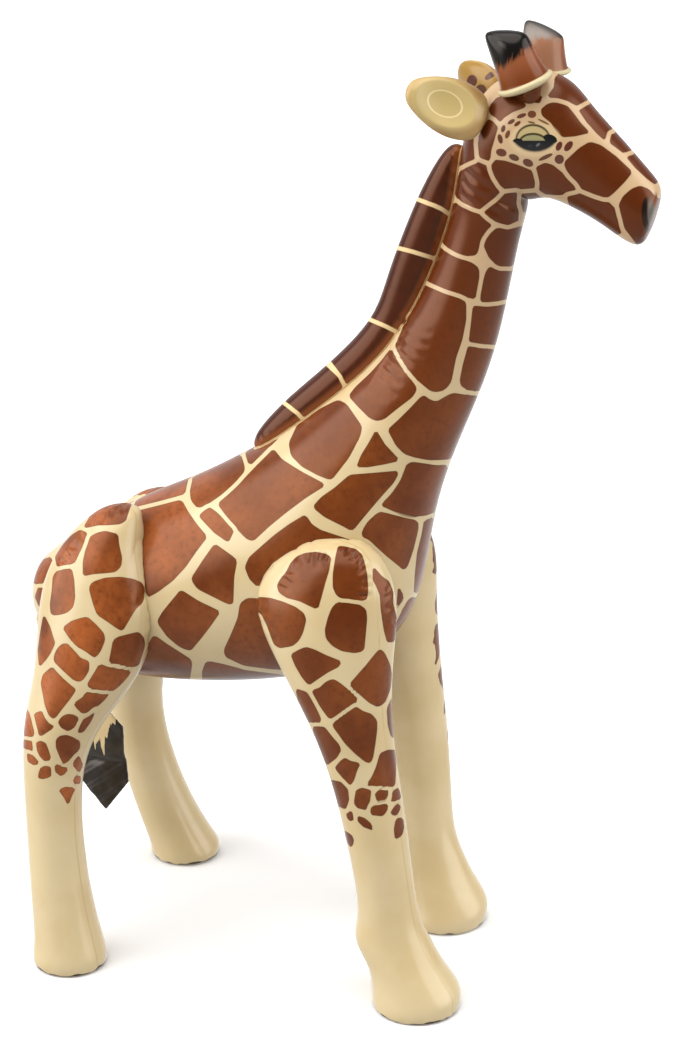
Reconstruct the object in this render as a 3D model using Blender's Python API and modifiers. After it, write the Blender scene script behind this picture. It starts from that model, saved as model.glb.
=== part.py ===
"""A standing inflatable giraffe: its air chambers, the flat tail flap and the soles, each a closed solid."""

import math
from collections import namedtuple

import bmesh
import bpy
from mathutils import Matrix, Vector

# The figure faces -Y and stands on the plane Z = 0. Its right side is at -X.
# Its profiles are drawn in millimetres for a figure 902 mm tall, and MM scales them to HEIGHT.
DRAWN_HEIGHT = 902.0
HEIGHT = 0.902
MM = HEIGHT / DRAWN_HEIGHT

CONTACT_GAP = 0.0003
SOLE_THICKNESS = 0.005
SOLE_EDGE_ROUND = 0.0015
SOLE_INSET = 0.003
TAIL_THICKNESS = 0.003
MERGE_DISTANCE = 0.00001

BODY_SEGMENTS = 12
LEG_SEGMENTS = 8
SMALL_SEGMENTS = 8
MANE_SEGMENTS = 8
SOLE_SEGMENTS = 24
SMOOTHING_LEVELS = 1

PRINT_BROWN = (0.23, 0.075, 0.03, 1.0)
PRINT_CREAM = (0.74, 0.58, 0.34, 1.0)
MANE_BROWN = (0.11, 0.03, 0.015, 1.0)
HORN_BROWN = (0.27, 0.10, 0.06, 1.0)
TUFT_BLACK = (0.012, 0.012, 0.012, 1.0)
SOLE_BLACK = (0.02, 0.015, 0.012, 1.0)
VINYL_ROUGHNESS = 0.32

# A slice of the trunk, neck or head: its centre in the plane of symmetry, its half height and half
# width, and the angle in degrees by which its upper edge leans from +Z towards +Y.
Slice = namedtuple("Slice", "y z half_height half_width lean")

TRUNK = (
    Slice(300, 330, 20, 18, 0),
    Slice(290, 330, 35, 33, 0),
    Slice(262, 331, 56, 56, 0),
    Slice(225, 337, 76, 75, 0),
    Slice(180, 348, 90, 88, 3),
    Slice(134, 359, 98, 92, 6),
    Slice(88, 373, 106, 93, 12),
    Slice(44, 388, 112, 93, 25),
    Slice(5, 410, 113, 89, 38),
)
NECK = (
    Slice(-15, 452, 93, 81, 46),
    Slice(-30, 496, 71, 69, 55),
    Slice(-58, 543, 57, 55, 66),
    Slice(-86, 586, 48, 46, 74),
    Slice(-104, 627, 42, 41, 80),
    Slice(-116, 662, 36.5, 37, 80),
    Slice(-125, 694, 33, 35, 80),
    Slice(-132, 724, 31.5, 33.5, 81),
    Slice(-138, 749, 32.5, 34.5, 74),
)
HEAD = (
    Slice(-139, 776, 40, 38, 45),
    Slice(-147, 799, 52, 41, 22),
    Slice(-168, 805, 58, 41, 2),
    Slice(-188, 803, 57, 37, -14),
    Slice(-202, 793, 44, 33, -22),
    Slice(-219, 782, 39, 29, -27),
    Slice(-244, 764.5, 33, 26, -27),
    Slice(-261, 750, 31, 26, -24),
    Slice(-271, 743, 29.5, 25, -18),
    Slice(-279, 738, 24, 21, -14),
)

# A level slice of a leg: its height, its centre, and its half sizes along and across the figure.
LegSlice = namedtuple("LegSlice", "z x y half_length half_width")

FRONT_LEG = (
    LegSlice(449, 82, -26, 18, 14),
    LegSlice(440, 84, -24, 38, 26),
    LegSlice(416, 87, -19, 62, 34),
    LegSlice(382, 90, -18, 72, 38),
    LegSlice(338, 92, -26, 59, 39),
    LegSlice(285, 94, -40, 42, 36),
    LegSlice(235, 96, -52, 33.5, 31),
    LegSlice(180, 97, -61, 29, 28),
    LegSlice(120, 97, -70, 26.5, 26.5),
    LegSlice(86, 97, -74, 28, 27.5),
    LegSlice(64, 97, -76, 37, 30),
    LegSlice(42, 97, -88, 35, 34),
    LegSlice(20, 97, -100, 41, 39),
)
HIND_LEG = (
    LegSlice(446, 54, 188, 14, 12),
    LegSlice(436, 58, 195, 25, 23),
    LegSlice(410, 67, 206, 39, 33),
    LegSlice(374, 77, 206, 55, 39),
    LegSlice(330, 86, 207, 56, 40),
    LegSlice(285, 93, 217, 48, 38),
    LegSlice(243, 100, 239, 36, 34),
    LegSlice(195, 106, 248, 27, 28),
    LegSlice(135, 111, 246, 25.5, 26),
    LegSlice(70, 115, 241, 28, 28.5),
    LegSlice(25, 118, 234, 32, 32),
)
FRONT_SOLE_RADIUS = 38
HIND_SOLE_RADIUS = 32

# Each leg stands as the toy's weight and its welds leave it. Its foot moves outwards and to the
# rear, by a share that grows from the height bend_top down to the floor, and its thigh moves down
# and to the rear, by a share that grows from THIGH_BASE up to THIGH_TOP.
LegPose = namedtuple("LegPose", "out back bend_top thigh_drop thigh_back")
LEG_POSES = {
    "front_right": LegPose(0, -4, 480, 0, 0),
    "front_left": LegPose(-30, 13, 480, 20, 18),
    "hind_right": LegPose(0, -2, 150, 0, 0),
    "hind_left": LegPose(0, -33, 150, 26, 0),
}
THIGH_BASE = 290
THIGH_TOP = 450

# Under the last slice of a foot, the skin rounds in over this share of the height that is left above
# the sole, and this share of its radius there is flat.
FOOT_ROUND_SHARE = 0.3
FOOT_FLAT_SHARE = 0.6
BEND_POWER = 1.5

# A slice of the mane: its centre in the plane of symmetry, and its half sizes away from the neck
# and across it.
ManeSlice = namedtuple("ManeSlice", "y z half_depth half_width")
MANE = (
    ManeSlice(-105, 792, 10, 9),
    ManeSlice(-99, 776, 17, 15),
    ManeSlice(-91, 744, 20, 16.5),
    ManeSlice(-78, 707, 20, 17),
    ManeSlice(-65, 668, 21, 17.5),
    ManeSlice(-54, 630, 20.5, 18),
    ManeSlice(-32, 598, 20, 18.5),
    ManeSlice(0, 565, 19.5, 19),
    ManeSlice(35, 534, 18.5, 18.5),
    ManeSlice(62, 509, 15, 15),
    ManeSlice(79, 492, 9, 9),
)

# A slice of a horn: its distance from the scalp along the horn, and its half sizes along and
# across the figure, for a horn of HORN_LENGTH. The first slices make the welded collar, and the last
# is the pinched end.
HornSlice = namedtuple("HornSlice", "rise half_length half_width")
HORN = (
    HornSlice(-12, 9, 8),
    HornSlice(1, 23, 20),
    HornSlice(7, 25, 22.5),
    HornSlice(9.5, 20.5, 19.5),
    HornSlice(26, 18.5, 17.5),
    HornSlice(44, 17.5, 14),
    HornSlice(53, 16, 5),
)
HORN_ROOT = Vector((27, -171, 850))
HORN_TIPS = {"right": Vector((31, -149, 901)), "left": Vector((28, -171, 894))}
HORN_LENGTH = 56

# A slice of an ear: its share of the ear's length, its half width and half thickness.
EarSlice = namedtuple("EarSlice", "share half_width half_thickness")
EAR = (
    EarSlice(-0.05, 13, 8),
    EarSlice(0.18, 20, 12),
    EarSlice(0.45, 25, 13),
    EarSlice(0.75, 21, 11),
    EarSlice(0.96, 10, 5),
)
EAR_ROOT = Vector((34, -134, 822))
EAR_TIPS = {"right": Vector((67, -75, 853)), "left": Vector((62, -88, 842))}
EAR_FACE = Vector((0.80, -0.55, 0.25))

# The tail flap hangs in the plane of symmetry. Its outline runs from the strap's rear edge at the
# rump, down round the tuft, and back up the strap's front edge, as (y, z).
TAIL_OUTLINE = (
    (292, 330), (299, 300), (293, 268), (281, 243), (270, 222), (269, 200), (262, 172),
    (266, 140), (232, 108), (211, 137), (216, 165), (214, 196), (230, 216), (256, 232),
    (272, 254), (281, 280), (280, 305), (268, 325),
)


def clear_scene():
    """Removes the objects that the file opens with."""
    for thing in list(bpy.data.objects):
        bpy.data.objects.remove(thing)


def vinyl(name, colour):
    """A glossy printed vinyl of one colour."""
    material = bpy.data.materials.new(name)
    material.use_nodes = True
    shader = material.node_tree.nodes["Principled BSDF"]
    shader.inputs["Base Color"].default_value = colour
    shader.inputs["Roughness"].default_value = VINYL_ROUGHNESS
    shader.inputs["Metallic"].default_value = 0.0
    material.diffuse_color = colour
    return material


def collection_named(name):
    """A new collection in the scene."""
    made = bpy.data.collections.new(name)
    bpy.context.scene.collection.children.link(made)
    return made


def object_of(name, mesh, collection, root, material=None):
    """An object that holds the mesh, under the figure's root."""
    made = bpy.data.objects.new(name, mesh)
    collection.objects.link(made)
    made.parent = root
    if material:
        mesh.materials.append(material)
    return made


def placed_circle(centre, across, along, half_across, half_along):
    """The matrix that takes a unit circle to an ellipse about centre, with the given half sizes."""
    facing = across.cross(along).normalized()
    columns = (across * half_across, along * half_along, facing)
    matrix = Matrix.Identity(4)
    for index, column in enumerate(columns):
        matrix.col[index] = (*column, 0.0)
    matrix.translation = centre
    return matrix


def cage_swell(segments):
    """How much larger a ring has to be for its smoothed surface to have the size that is drawn."""
    return 3.0 / (2.0 + math.cos(2.0 * math.pi / segments))


def lofted_mesh(name, circles, segments):
    """A closed mesh through the circles, in order, with a flat face across each end."""
    built = bmesh.new()
    loops = []
    for matrix in circles:
        made = bmesh.ops.create_circle(built, segments=segments, radius=1.0, matrix=matrix)
        loops.append(list({edge for vert in made["verts"] for edge in vert.link_edges}))
    for lower, upper in zip(loops, loops[1:]):
        bmesh.ops.bridge_loops(built, edges=lower + upper)
    for end in (loops[0], loops[-1]):
        bmesh.ops.contextual_create(built, geom=end)
    bmesh.ops.recalc_face_normals(built, faces=built.faces)
    mesh = bpy.data.meshes.new(name)
    built.to_mesh(mesh)
    built.free()
    mesh.shade_smooth()
    return mesh


def smooth(thing):
    """Rounds the coarse cage."""
    modifier = thing.modifiers.new("Smooth", "SUBSURF")
    modifier.levels = SMOOTHING_LEVELS
    modifier.render_levels = SMOOTHING_LEVELS


def cut_by(thing, cutter):
    """Cuts the chamber back to the skin that it is welded on."""
    modifier = thing.modifiers.new("Cut by " + cutter.name, "BOOLEAN")
    modifier.operation = "DIFFERENCE"
    modifier.object = cutter


def slice_circle(drawn, swell):
    """The circle of one slice of the trunk, neck or head."""
    lean = math.radians(drawn.lean)
    centre = Vector((0.0, drawn.y, drawn.z)) * MM
    upwards = Vector((0.0, math.sin(lean), math.cos(lean)))
    sideways = Vector((1.0, 0.0, 0.0))
    half_width = drawn.half_width * MM * swell
    return placed_circle(centre, sideways, upwards, half_width, drawn.half_height * MM * swell)


def body_mesh(name):
    """The cage of the trunk, neck and head, which are one chamber."""
    swell = cage_swell(BODY_SEGMENTS)
    circles = [slice_circle(drawn, swell) for drawn in TRUNK + NECK + HEAD]
    return lofted_mesh(name, circles, BODY_SEGMENTS)


def make_body(collection, root, material):
    """The trunk, neck and head."""
    body = object_of("body", body_mesh("body"), collection, root, material)
    smooth(body)
    return body


def make_cutter(body, cutters, root):
    """The body's skin moved out by the contact gap, which cuts what is welded on it."""
    cutter = object_of("body_skin", body.data.copy(), cutters, root)
    smooth(cutter)
    offset = cutter.modifiers.new("Contact gap", "DISPLACE")
    offset.strength = CONTACT_GAP
    offset.mid_level = 0.0
    cutter.hide_render = True
    cutter.display_type = "WIRE"
    return cutter


def leg_circle(drawn, side, pose, swell):
    """The circle of one level slice of a leg."""
    foot_share = max(0.0, (pose.bend_top - drawn.z) / pose.bend_top) ** BEND_POWER
    thigh_share = max(0.0, (drawn.z - THIGH_BASE) / (THIGH_TOP - THIGH_BASE))
    outwards = drawn.x + pose.out * foot_share
    backwards = drawn.y + pose.back * foot_share + pose.thigh_back * thigh_share
    centre = Vector((side * outwards, backwards, drawn.z - pose.thigh_drop * thigh_share)) * MM
    along = Vector((0.0, 1.0, 0.0))
    across = Vector((1.0, 0.0, 0.0))
    half_width = drawn.half_width * MM * swell
    return placed_circle(centre, across, along, half_width, drawn.half_length * MM * swell)


def foot_bottom(slices, side, pose, sole_radius):
    """The two circles that close a foot above its sole, the lower one as wide as the sole."""
    top_of_sole = SOLE_THICKNESS + CONTACT_GAP
    foot = slices[-1]
    centre = sole_centre(slices, side, pose)
    across = Vector((1.0, 0.0, 0.0))
    along = Vector((0.0, 1.0, 0.0))
    radius = sole_radius * MM + SOLE_INSET
    rounded = (foot.z * MM - top_of_sole) * FOOT_ROUND_SHARE
    swell = cage_swell(LEG_SEGMENTS)
    circles = []
    for height, size in ((top_of_sole + rounded, radius * swell), (top_of_sole, radius)):
        circles.append(placed_circle(centre + Vector((0, 0, height)), across, along, size, size))
    inner = radius * FOOT_FLAT_SHARE
    circles.append(placed_circle(centre + Vector((0, 0, top_of_sole)), across, along, inner, inner))
    return circles


def sole_centre(slices, side, pose):
    """Where the middle of a sole stands on the floor."""
    foot = slices[-1]
    return Vector((side * (foot.x + pose.out), foot.y + pose.back, 0.0)) * MM


def make_leg(place, slices, sole_radius, collection, root, material, cutter):
    """One leg, from its arched top on the body's side down to its sole."""
    side = 1 if place.endswith("left") else -1
    pose = LEG_POSES[place]
    swell = cage_swell(LEG_SEGMENTS)
    circles = [leg_circle(drawn, side, pose, swell) for drawn in slices]
    circles += foot_bottom(slices, side, pose, sole_radius)
    name = "leg_" + place
    leg = object_of(name, lofted_mesh(name, circles, LEG_SEGMENTS), collection, root, material)
    smooth(leg)
    cut_by(leg, cutter)
    return leg


def make_sole(place, slices, sole_radius, collection, root, material):
    """The flat black disc under one foot."""
    side = 1 if place.endswith("left") else -1
    centre = sole_centre(slices, side, LEG_POSES[place])
    built = bmesh.new()
    bmesh.ops.create_cone(
        built,
        cap_ends=True,
        segments=SOLE_SEGMENTS,
        radius1=sole_radius * MM,
        radius2=sole_radius * MM,
        depth=SOLE_THICKNESS,
    )
    name = "sole_" + place
    mesh = bpy.data.meshes.new(name)
    built.to_mesh(mesh)
    built.free()
    sole = object_of(name, mesh, collection, root, material)
    sole.location = centre + Vector((0.0, 0.0, SOLE_THICKNESS / 2))
    bevel = sole.modifiers.new("Rounded edge", "BEVEL")
    bevel.width = SOLE_EDGE_ROUND
    bevel.segments = 1
    return sole


def make_mane(collection, root, material, cutter):
    """The inflated ridge down the back of the neck."""
    swell = cage_swell(MANE_SEGMENTS)
    centres = [Vector((0.0, drawn.y, drawn.z)) * MM for drawn in MANE]
    across = Vector((1.0, 0.0, 0.0))
    circles = []
    for index, drawn in enumerate(MANE):
        before = centres[max(index - 1, 0)]
        after = centres[min(index + 1, len(centres) - 1)]
        outwards = (after - before).normalized().cross(across).normalized()
        half_width = drawn.half_width * MM * swell
        half_depth = drawn.half_depth * MM * swell
        circles.append(placed_circle(centres[index], across, outwards, half_width, half_depth))
    mane = object_of("mane", lofted_mesh("mane", circles, MANE_SEGMENTS), collection, root, material)
    smooth(mane)
    cut_by(mane, cutter)
    return mane


def mirrored(point, side):
    """A point drawn for the left side, in metres, on the given side."""
    return Vector((point.x * side, point.y, point.z)) * MM


def make_horn(side_name, side, collection, root, material, cutter):
    """One horn with its welded collar."""
    foot = mirrored(HORN_ROOT, side)
    tip = mirrored(HORN_TIPS[side_name], side)
    length = (tip - foot).length
    upwards = (tip - foot).normalized()
    across = Vector((1.0, 0.0, 0.0))
    across = (across - upwards * across.dot(upwards)).normalized()
    along = upwards.cross(across)
    swell = cage_swell(SMALL_SEGMENTS)
    circles = []
    for drawn in HORN:
        centre = foot + upwards * length * drawn.rise / HORN_LENGTH
        half_width = drawn.half_width * MM * swell
        half_length = drawn.half_length * MM * swell
        circles.append(placed_circle(centre, across, along, half_width, half_length))
    name = "horn_" + side_name
    horn = object_of(name, lofted_mesh(name, circles, SMALL_SEGMENTS), collection, root, material)
    smooth(horn)
    cut_by(horn, cutter)
    return horn


def make_ear(side_name, side, collection, root, material, cutter):
    """One ear, a flat inflated leaf."""
    foot = mirrored(EAR_ROOT, side)
    tip = mirrored(EAR_TIPS[side_name], side)
    length = (tip - foot).length
    outwards = (tip - foot).normalized()
    face = Vector((EAR_FACE.x * side, EAR_FACE.y, EAR_FACE.z))
    face = (face - outwards * face.dot(outwards)).normalized()
    width_way = face.cross(outwards).normalized()
    swell = cage_swell(SMALL_SEGMENTS)
    circles = []
    for drawn in EAR:
        centre = foot + outwards * length * drawn.share
        half_width = drawn.half_width * MM * swell
        half_thickness = drawn.half_thickness * MM * swell
        circles.append(placed_circle(centre, width_way, face, half_width, half_thickness))
    name = "ear_" + side_name
    ear = object_of(name, lofted_mesh(name, circles, SMALL_SEGMENTS), collection, root, material)
    smooth(ear)
    cut_by(ear, cutter)
    return ear


def make_tail(collection, root, material, cutter):
    """The flat tail flap with its tuft."""
    curve = bpy.data.curves.new("tail_outline", "CURVE")
    curve.dimensions = "2D"
    curve.fill_mode = "BOTH"
    curve.extrude = TAIL_THICKNESS / 2
    spline = curve.splines.new("POLY")
    spline.points.add(len(TAIL_OUTLINE) - 1)
    for point, (y, z) in zip(spline.points, TAIL_OUTLINE):
        point.co = (y * MM, z * MM, 0.0, 1.0)
    spline.use_cyclic_u = True
    flat = bpy.data.objects.new("tail_outline", curve)
    collection.objects.link(flat)
    upright = Matrix(((0, 0, 1, 0), (1, 0, 0, 0), (0, 1, 0, 0), (0, 0, 0, 1)))
    bpy.context.view_layer.update()
    graph = bpy.context.evaluated_depsgraph_get()
    mesh = bpy.data.meshes.new_from_object(flat.evaluated_get(graph))
    bpy.data.objects.remove(flat)
    mesh.transform(upright)
    built = bmesh.new()
    built.from_mesh(mesh)
    bmesh.ops.remove_doubles(built, verts=built.verts, dist=MERGE_DISTANCE)
    built.to_mesh(mesh)
    built.free()
    mesh.name = "tail"
    mesh.materials.clear()
    tail = object_of("tail", mesh, collection, root, material)
    cut_by(tail, cutter)
    return tail


def set_origin(root, things):
    """Moves the figure so that the floor under the middle of its box is the origin."""
    bpy.context.view_layer.update()
    graph = bpy.context.evaluated_depsgraph_get()
    corners = []
    for thing in things:
        evaluated = thing.evaluated_get(graph)
        mesh = evaluated.to_mesh()
        corners += [thing.matrix_world @ vert.co for vert in mesh.vertices]
        evaluated.to_mesh_clear()
    low = [min(corner[axis] for corner in corners) for axis in range(3)]
    high = [max(corner[axis] for corner in corners) for axis in range(3)]
    root.location = (-(low[0] + high[0]) / 2, -(low[1] + high[1]) / 2, -low[2])
    bpy.context.view_layer.update()


def main():
    """Builds the figure."""
    clear_scene()
    pieces = collection_named("inflatable_giraffe")
    cutters = collection_named("cutters")
    root = bpy.data.objects.new("giraffe_root", None)
    pieces.objects.link(root)
    printed = vinyl("printed_vinyl", PRINT_BROWN)
    cream = vinyl("cream_vinyl", PRINT_CREAM)
    horn_vinyl = vinyl("horn_vinyl", HORN_BROWN)
    mane_vinyl = vinyl("mane_vinyl", MANE_BROWN)
    tuft_vinyl = vinyl("tuft_vinyl", TUFT_BLACK)
    sole_vinyl = vinyl("sole_vinyl", SOLE_BLACK)

    body = make_body(pieces, root, printed)
    cutter = make_cutter(body, cutters, root)
    things = [body, make_mane(pieces, root, mane_vinyl, cutter)]
    for place in LEG_POSES:
        front = place.startswith("front")
        slices = FRONT_LEG if front else HIND_LEG
        radius = FRONT_SOLE_RADIUS if front else HIND_SOLE_RADIUS
        things.append(make_leg(place, slices, radius, pieces, root, cream, cutter))
        things.append(make_sole(place, slices, radius, pieces, root, sole_vinyl))
    for side_name, side in (("right", -1), ("left", 1)):
        things.append(make_horn(side_name, side, pieces, root, horn_vinyl, cutter))
        things.append(make_ear(side_name, side, pieces, root, cream, cutter))
    things.append(make_tail(pieces, root, tuft_vinyl, cutter))
    set_origin(root, things)


main()
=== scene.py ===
"""Looks of a blow-up giraffe of glossy printed vinyl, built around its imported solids."""

import logging
import math
from collections.abc import Callable, Iterable
from dataclasses import dataclass
from enum import Enum

import bmesh
import bpy
import numpy as np
from mathutils import Matrix, Vector, noise
from mathutils.bvhtree import BVHTree


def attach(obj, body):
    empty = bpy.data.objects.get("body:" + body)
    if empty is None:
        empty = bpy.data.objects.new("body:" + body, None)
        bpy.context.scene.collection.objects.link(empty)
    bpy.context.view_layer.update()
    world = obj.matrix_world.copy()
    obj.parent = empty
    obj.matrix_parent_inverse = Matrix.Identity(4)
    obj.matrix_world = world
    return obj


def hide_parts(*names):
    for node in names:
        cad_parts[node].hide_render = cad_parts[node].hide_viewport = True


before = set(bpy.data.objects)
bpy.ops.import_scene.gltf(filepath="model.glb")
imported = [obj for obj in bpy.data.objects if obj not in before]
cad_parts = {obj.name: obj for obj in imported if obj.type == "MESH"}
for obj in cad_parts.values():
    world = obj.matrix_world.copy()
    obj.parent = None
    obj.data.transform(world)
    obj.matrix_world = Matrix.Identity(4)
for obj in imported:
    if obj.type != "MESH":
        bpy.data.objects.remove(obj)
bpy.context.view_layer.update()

LOG = logging.getLogger("giraffe")
MM = 0.001
BODY = "root"
PHOTO_WIDTH = 680.0
PHOTO_HEIGHT = 1042.0
BACK_SHIFT = -9.5
CONTACT_GAP = 0.0003
MERGE_DISTANCE = 0.00001
SMOOTH_ANGLE = math.radians(50)
# Each corner of an outline is cut by this share of its corner value, or less on a short edge.
CORNER_CUT = 0.6
EDGE_SHARE = 0.25
# Depths of the print are stored down to this many mm outside a patch.
FAR_DEPTH = 12.0
CHUNK = 4000
# A crease starts at a share of its depth, is deepest near its head, and has a low lip at both sides.
CREASE_START = 0.6
CREASE_HEAD = 0.25
LIP_PLACE = 1.9
LIP_HEIGHT = 0.35
# The puckers of a weld: how far below the skin they go on, their sway, and where they stop narrowing.
WELD_SINK = 0.006
WELD_SWAY = 40.0
WELD_UNEVEN = 17.0
WELD_MIDDLE = 0.12
WELD_LEAST = 0.1
# Marks of one side fade out this far from the middle plane, in metres.
MUZZLE_MIDDLE = (0.008, 0.0095)

Pixel = tuple[float, float]
Outline = tuple[float, ...]
Span = tuple[float, float]
Triple = tuple[float, float, float]
Piece = bpy.types.Object
Tree = bpy.types.NodeTree
Socket = bpy.types.NodeSocket
Colour = str | Socket


def linear(code: str) -> tuple[float, float, float, float]:
    """Turns a screen colour into the renderer's linear colour.

    Args:
        code: The colour as a hex string, such as "7a3e20".

    Returns:
        Linear red, green and blue, and an alpha of 1.
    """
    channels = [int(code[place : place + 2], 16) / 255.0 for place in (0, 2, 4)]
    made = [c / 12.92 if c <= 0.04045 else ((c + 0.055) / 1.055) ** 2.4 for c in channels]
    return (made[0], made[1], made[2], 1.0)


@dataclass(frozen=True)
class Viewpoint:
    """Where the photograph was taken from, in metres and degrees."""

    distance: float = 2.6
    azimuth: float = -73.0
    elevation: float = 22.0
    aim: Triple = (0.0, -0.0095, 0.432)
    focal_pixels: float = 2860.0
    sensor: float = 36.0

    def axes(self) -> tuple[Vector, Vector, Vector]:
        """Gives the picture's directions.

        Returns:
            Unit vectors to the right, up and back towards the viewer.
        """
        turn = math.radians(self.azimuth)
        rise = math.radians(self.elevation)
        level = math.cos(rise)
        back = Vector((math.sin(turn) * level, -math.cos(turn) * level, math.sin(rise)))
        right = Vector((math.cos(turn), math.sin(turn), 0.0))
        return right, back.cross(right), back

    def place(self) -> Vector:
        """Gives the viewer's own position."""
        return Vector(self.aim) + self.axes()[2] * self.distance

    def ray(self, pixel: Pixel) -> Vector:
        """Gives the direction of sight through a pixel.

        Args:
            pixel: A place in the 680 by 1042 picture.

        Returns:
            A unit vector away from the viewer.
        """
        right, up, back = self.axes()
        across = (pixel[0] - PHOTO_WIDTH / 2) / self.focal_pixels
        down = (pixel[1] - PHOTO_HEIGHT / 2) / self.focal_pixels
        return (right * across - up * down - back).normalized()

    def seen(self, points: np.ndarray) -> np.ndarray:
        """Projects points into the picture.

        Args:
            points: One row for each point, in metres.

        Returns:
            One row for each point: pixel across, pixel down, and depth in metres.
        """
        right, up, back = (np.array(axis) for axis in self.axes())
        offset = points - np.array(self.place())
        depth = -(offset @ back)
        across = PHOTO_WIDTH / 2 + self.focal_pixels * (offset @ right) / depth
        down = PHOTO_HEIGHT / 2 - self.focal_pixels * (offset @ up) / depth
        return np.stack([across, down, depth], axis=1)

    def make_camera(self) -> Piece:
        """Makes the scene's camera.

        Returns:
            The camera object.
        """
        data = bpy.data.cameras.new("Photo camera")
        data.sensor_width = self.sensor
        data.lens = self.sensor * self.focal_pixels / PHOTO_HEIGHT
        data.clip_start = 0.05
        data.clip_end = 50.0
        camera = bpy.data.objects.new("Photo camera", data)
        bpy.context.scene.collection.objects.link(camera)
        camera.location = self.place()
        camera.rotation_mode = "QUATERNION"
        camera.rotation_quaternion = (-self.axes()[2]).to_track_quat("-Z", "Y")
        bpy.context.scene.camera = camera
        return camera


PHOTO = Viewpoint()


def activate(piece: Piece) -> None:
    """Selects one piece alone and makes it the active one.

    Args:
        piece: The object to work on.
    """
    for chosen in list(bpy.context.selected_objects):
        chosen.select_set(False)
    piece.select_set(True)
    bpy.context.view_layer.objects.active = piece


def apply_all(piece: Piece) -> None:
    """Applies every modifier of a piece, in order.

    Args:
        piece: The object whose modifiers are finished.
    """
    activate(piece)
    for modifier in list(piece.modifiers):
        bpy.ops.object.modifier_apply(modifier=modifier.name)


def subdivide(piece: Piece, levels: int) -> None:
    """Rounds a piece with applied subdivision.

    Args:
        piece: The object to round.
        levels: How many times each face is split.
    """
    rounding = piece.modifiers.new("Round", "SUBSURF")
    rounding.levels = levels
    rounding.render_levels = levels
    apply_all(piece)


def corners_of(piece: Piece, kind: str = "co") -> np.ndarray:
    """Reads a piece's vertices.

    Args:
        piece: A mesh object at the origin.
        kind: Which value is read: "co" for the places, "normal" for the unit normals.

    Returns:
        One row of x, y and z for each vertex, in metres.
    """
    flat = np.zeros(len(piece.data.vertices) * 3, np.float32)
    piece.data.vertices.foreach_get(kind, flat)
    return flat.reshape(-1, 3).astype(float)


def move_corners(piece: Piece, places: np.ndarray) -> None:
    """Puts a piece's vertices at new places.

    Args:
        piece: A mesh object at the origin.
        places: One row of x, y and z for each vertex, in metres.
    """
    piece.data.vertices.foreach_set("co", places.astype(np.float32).ravel())
    piece.data.update()


def write_values(piece: Piece, name: str, values: np.ndarray) -> None:
    """Stores one number at each vertex, for the materials.

    Args:
        piece: A mesh object.
        name: The attribute's name.
        values: One number for each vertex.
    """
    stored = piece.data.attributes.get(name)
    if stored is None:
        stored = piece.data.attributes.new(name, "FLOAT", "POINT")
    stored.data.foreach_set("value", values.astype(np.float32))


def tree_of(piece: Piece) -> BVHTree:
    """Makes a search tree of a piece's surface.

    Args:
        piece: A mesh object at the origin.

    Returns:
        The tree, for rays and nearest points.
    """
    return BVHTree.FromObject(piece, bpy.context.evaluated_depsgraph_get())


def least_gaps(points: np.ndarray, sites: np.ndarray) -> np.ndarray:
    """Measures how far points are from the nearest of some places.

    Args:
        points: One row for each point, in metres.
        sites: One row for each place, in metres.

    Returns:
        The distances, in metres.
    """
    gaps = np.zeros(len(points))
    for start in range(0, len(points), CHUNK):
        part = points[start : start + CHUNK, None, :] - sites[None, :, :]
        gaps[start : start + CHUNK] = np.linalg.norm(part, axis=2).min(axis=1)
    return gaps


def drawn(across: float, back: float, height: float) -> Vector:
    """Gives a drawn place in mm as a place of the scene in metres.

    Args:
        across: The place along x.
        back: The place along y, before the drawing is moved to the frame's middle.
        height: The place along z.

    Returns:
        The place.
    """
    return Vector((across, back + BACK_SHIFT, height)) * MM


@dataclass(frozen=True)
class Hoop:
    """One elliptical ring that a chamber passes through."""

    centre: Vector
    across: Vector
    along: Vector
    half_across: float
    half_along: float

    def matrix(self) -> Matrix:
        """Gives the placing of a unit circle on this ring.

        Returns:
            The matrix that turns, sizes and moves the circle.
        """
        facing = self.across.cross(self.along)
        turned = Matrix((self.across, self.along, facing)).transposed().to_4x4()
        sized = Matrix.Diagonal((self.half_across, self.half_along, 1.0, 1.0))
        return Matrix.Translation(self.centre) @ turned @ sized


def cage_swell(segments: int) -> float:
    """Tells how much larger a ring is drawn so that its rounded surface has the drawn size.

    Args:
        segments: The corners of the ring.

    Returns:
        The factor on the ring's half sizes.
    """
    return 3.0 / (2.0 + math.cos(2.0 * math.pi / segments))


def loft(name: str, hoops: list[Hoop], segments: int, levels: int) -> Piece:
    """Builds a closed, rounded chamber through its rings.

    Args:
        name: The piece's name.
        hoops: The rings in order, already swelled.
        segments: The corners of each ring.
        levels: How many times the cage is split.

    Returns:
        The new mesh object, at the origin.
    """
    for chosen in list(bpy.context.selected_objects):
        chosen.select_set(False)
    bpy.ops.mesh.primitive_circle_add(vertices=segments, radius=1.0, location=(0.0, 0.0, 0.0))
    piece = bpy.context.object
    piece.name = name
    piece.data.name = name
    bpy.ops.object.mode_set(mode="EDIT")
    bpy.ops.mesh.delete(type="VERT")
    for hoop in hoops:
        bpy.ops.mesh.select_all(action="DESELECT")
        bpy.ops.mesh.primitive_circle_add(vertices=segments, radius=1.0, location=(0.0, 0.0, 0.0))
        cage = bmesh.from_edit_mesh(piece.data)
        ring = [vert for vert in cage.verts if vert.select]
        bmesh.ops.transform(cage, matrix=hoop.matrix(), verts=ring)
        bmesh.update_edit_mesh(piece.data)
    bridge_rings(piece, len(hoops), segments)
    bpy.ops.mesh.select_all(action="SELECT")
    bpy.ops.mesh.normals_make_consistent(inside=False)
    bpy.ops.object.mode_set(mode="OBJECT")
    subdivide(piece, levels)
    piece.data.shade_smooth()
    return piece


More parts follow.
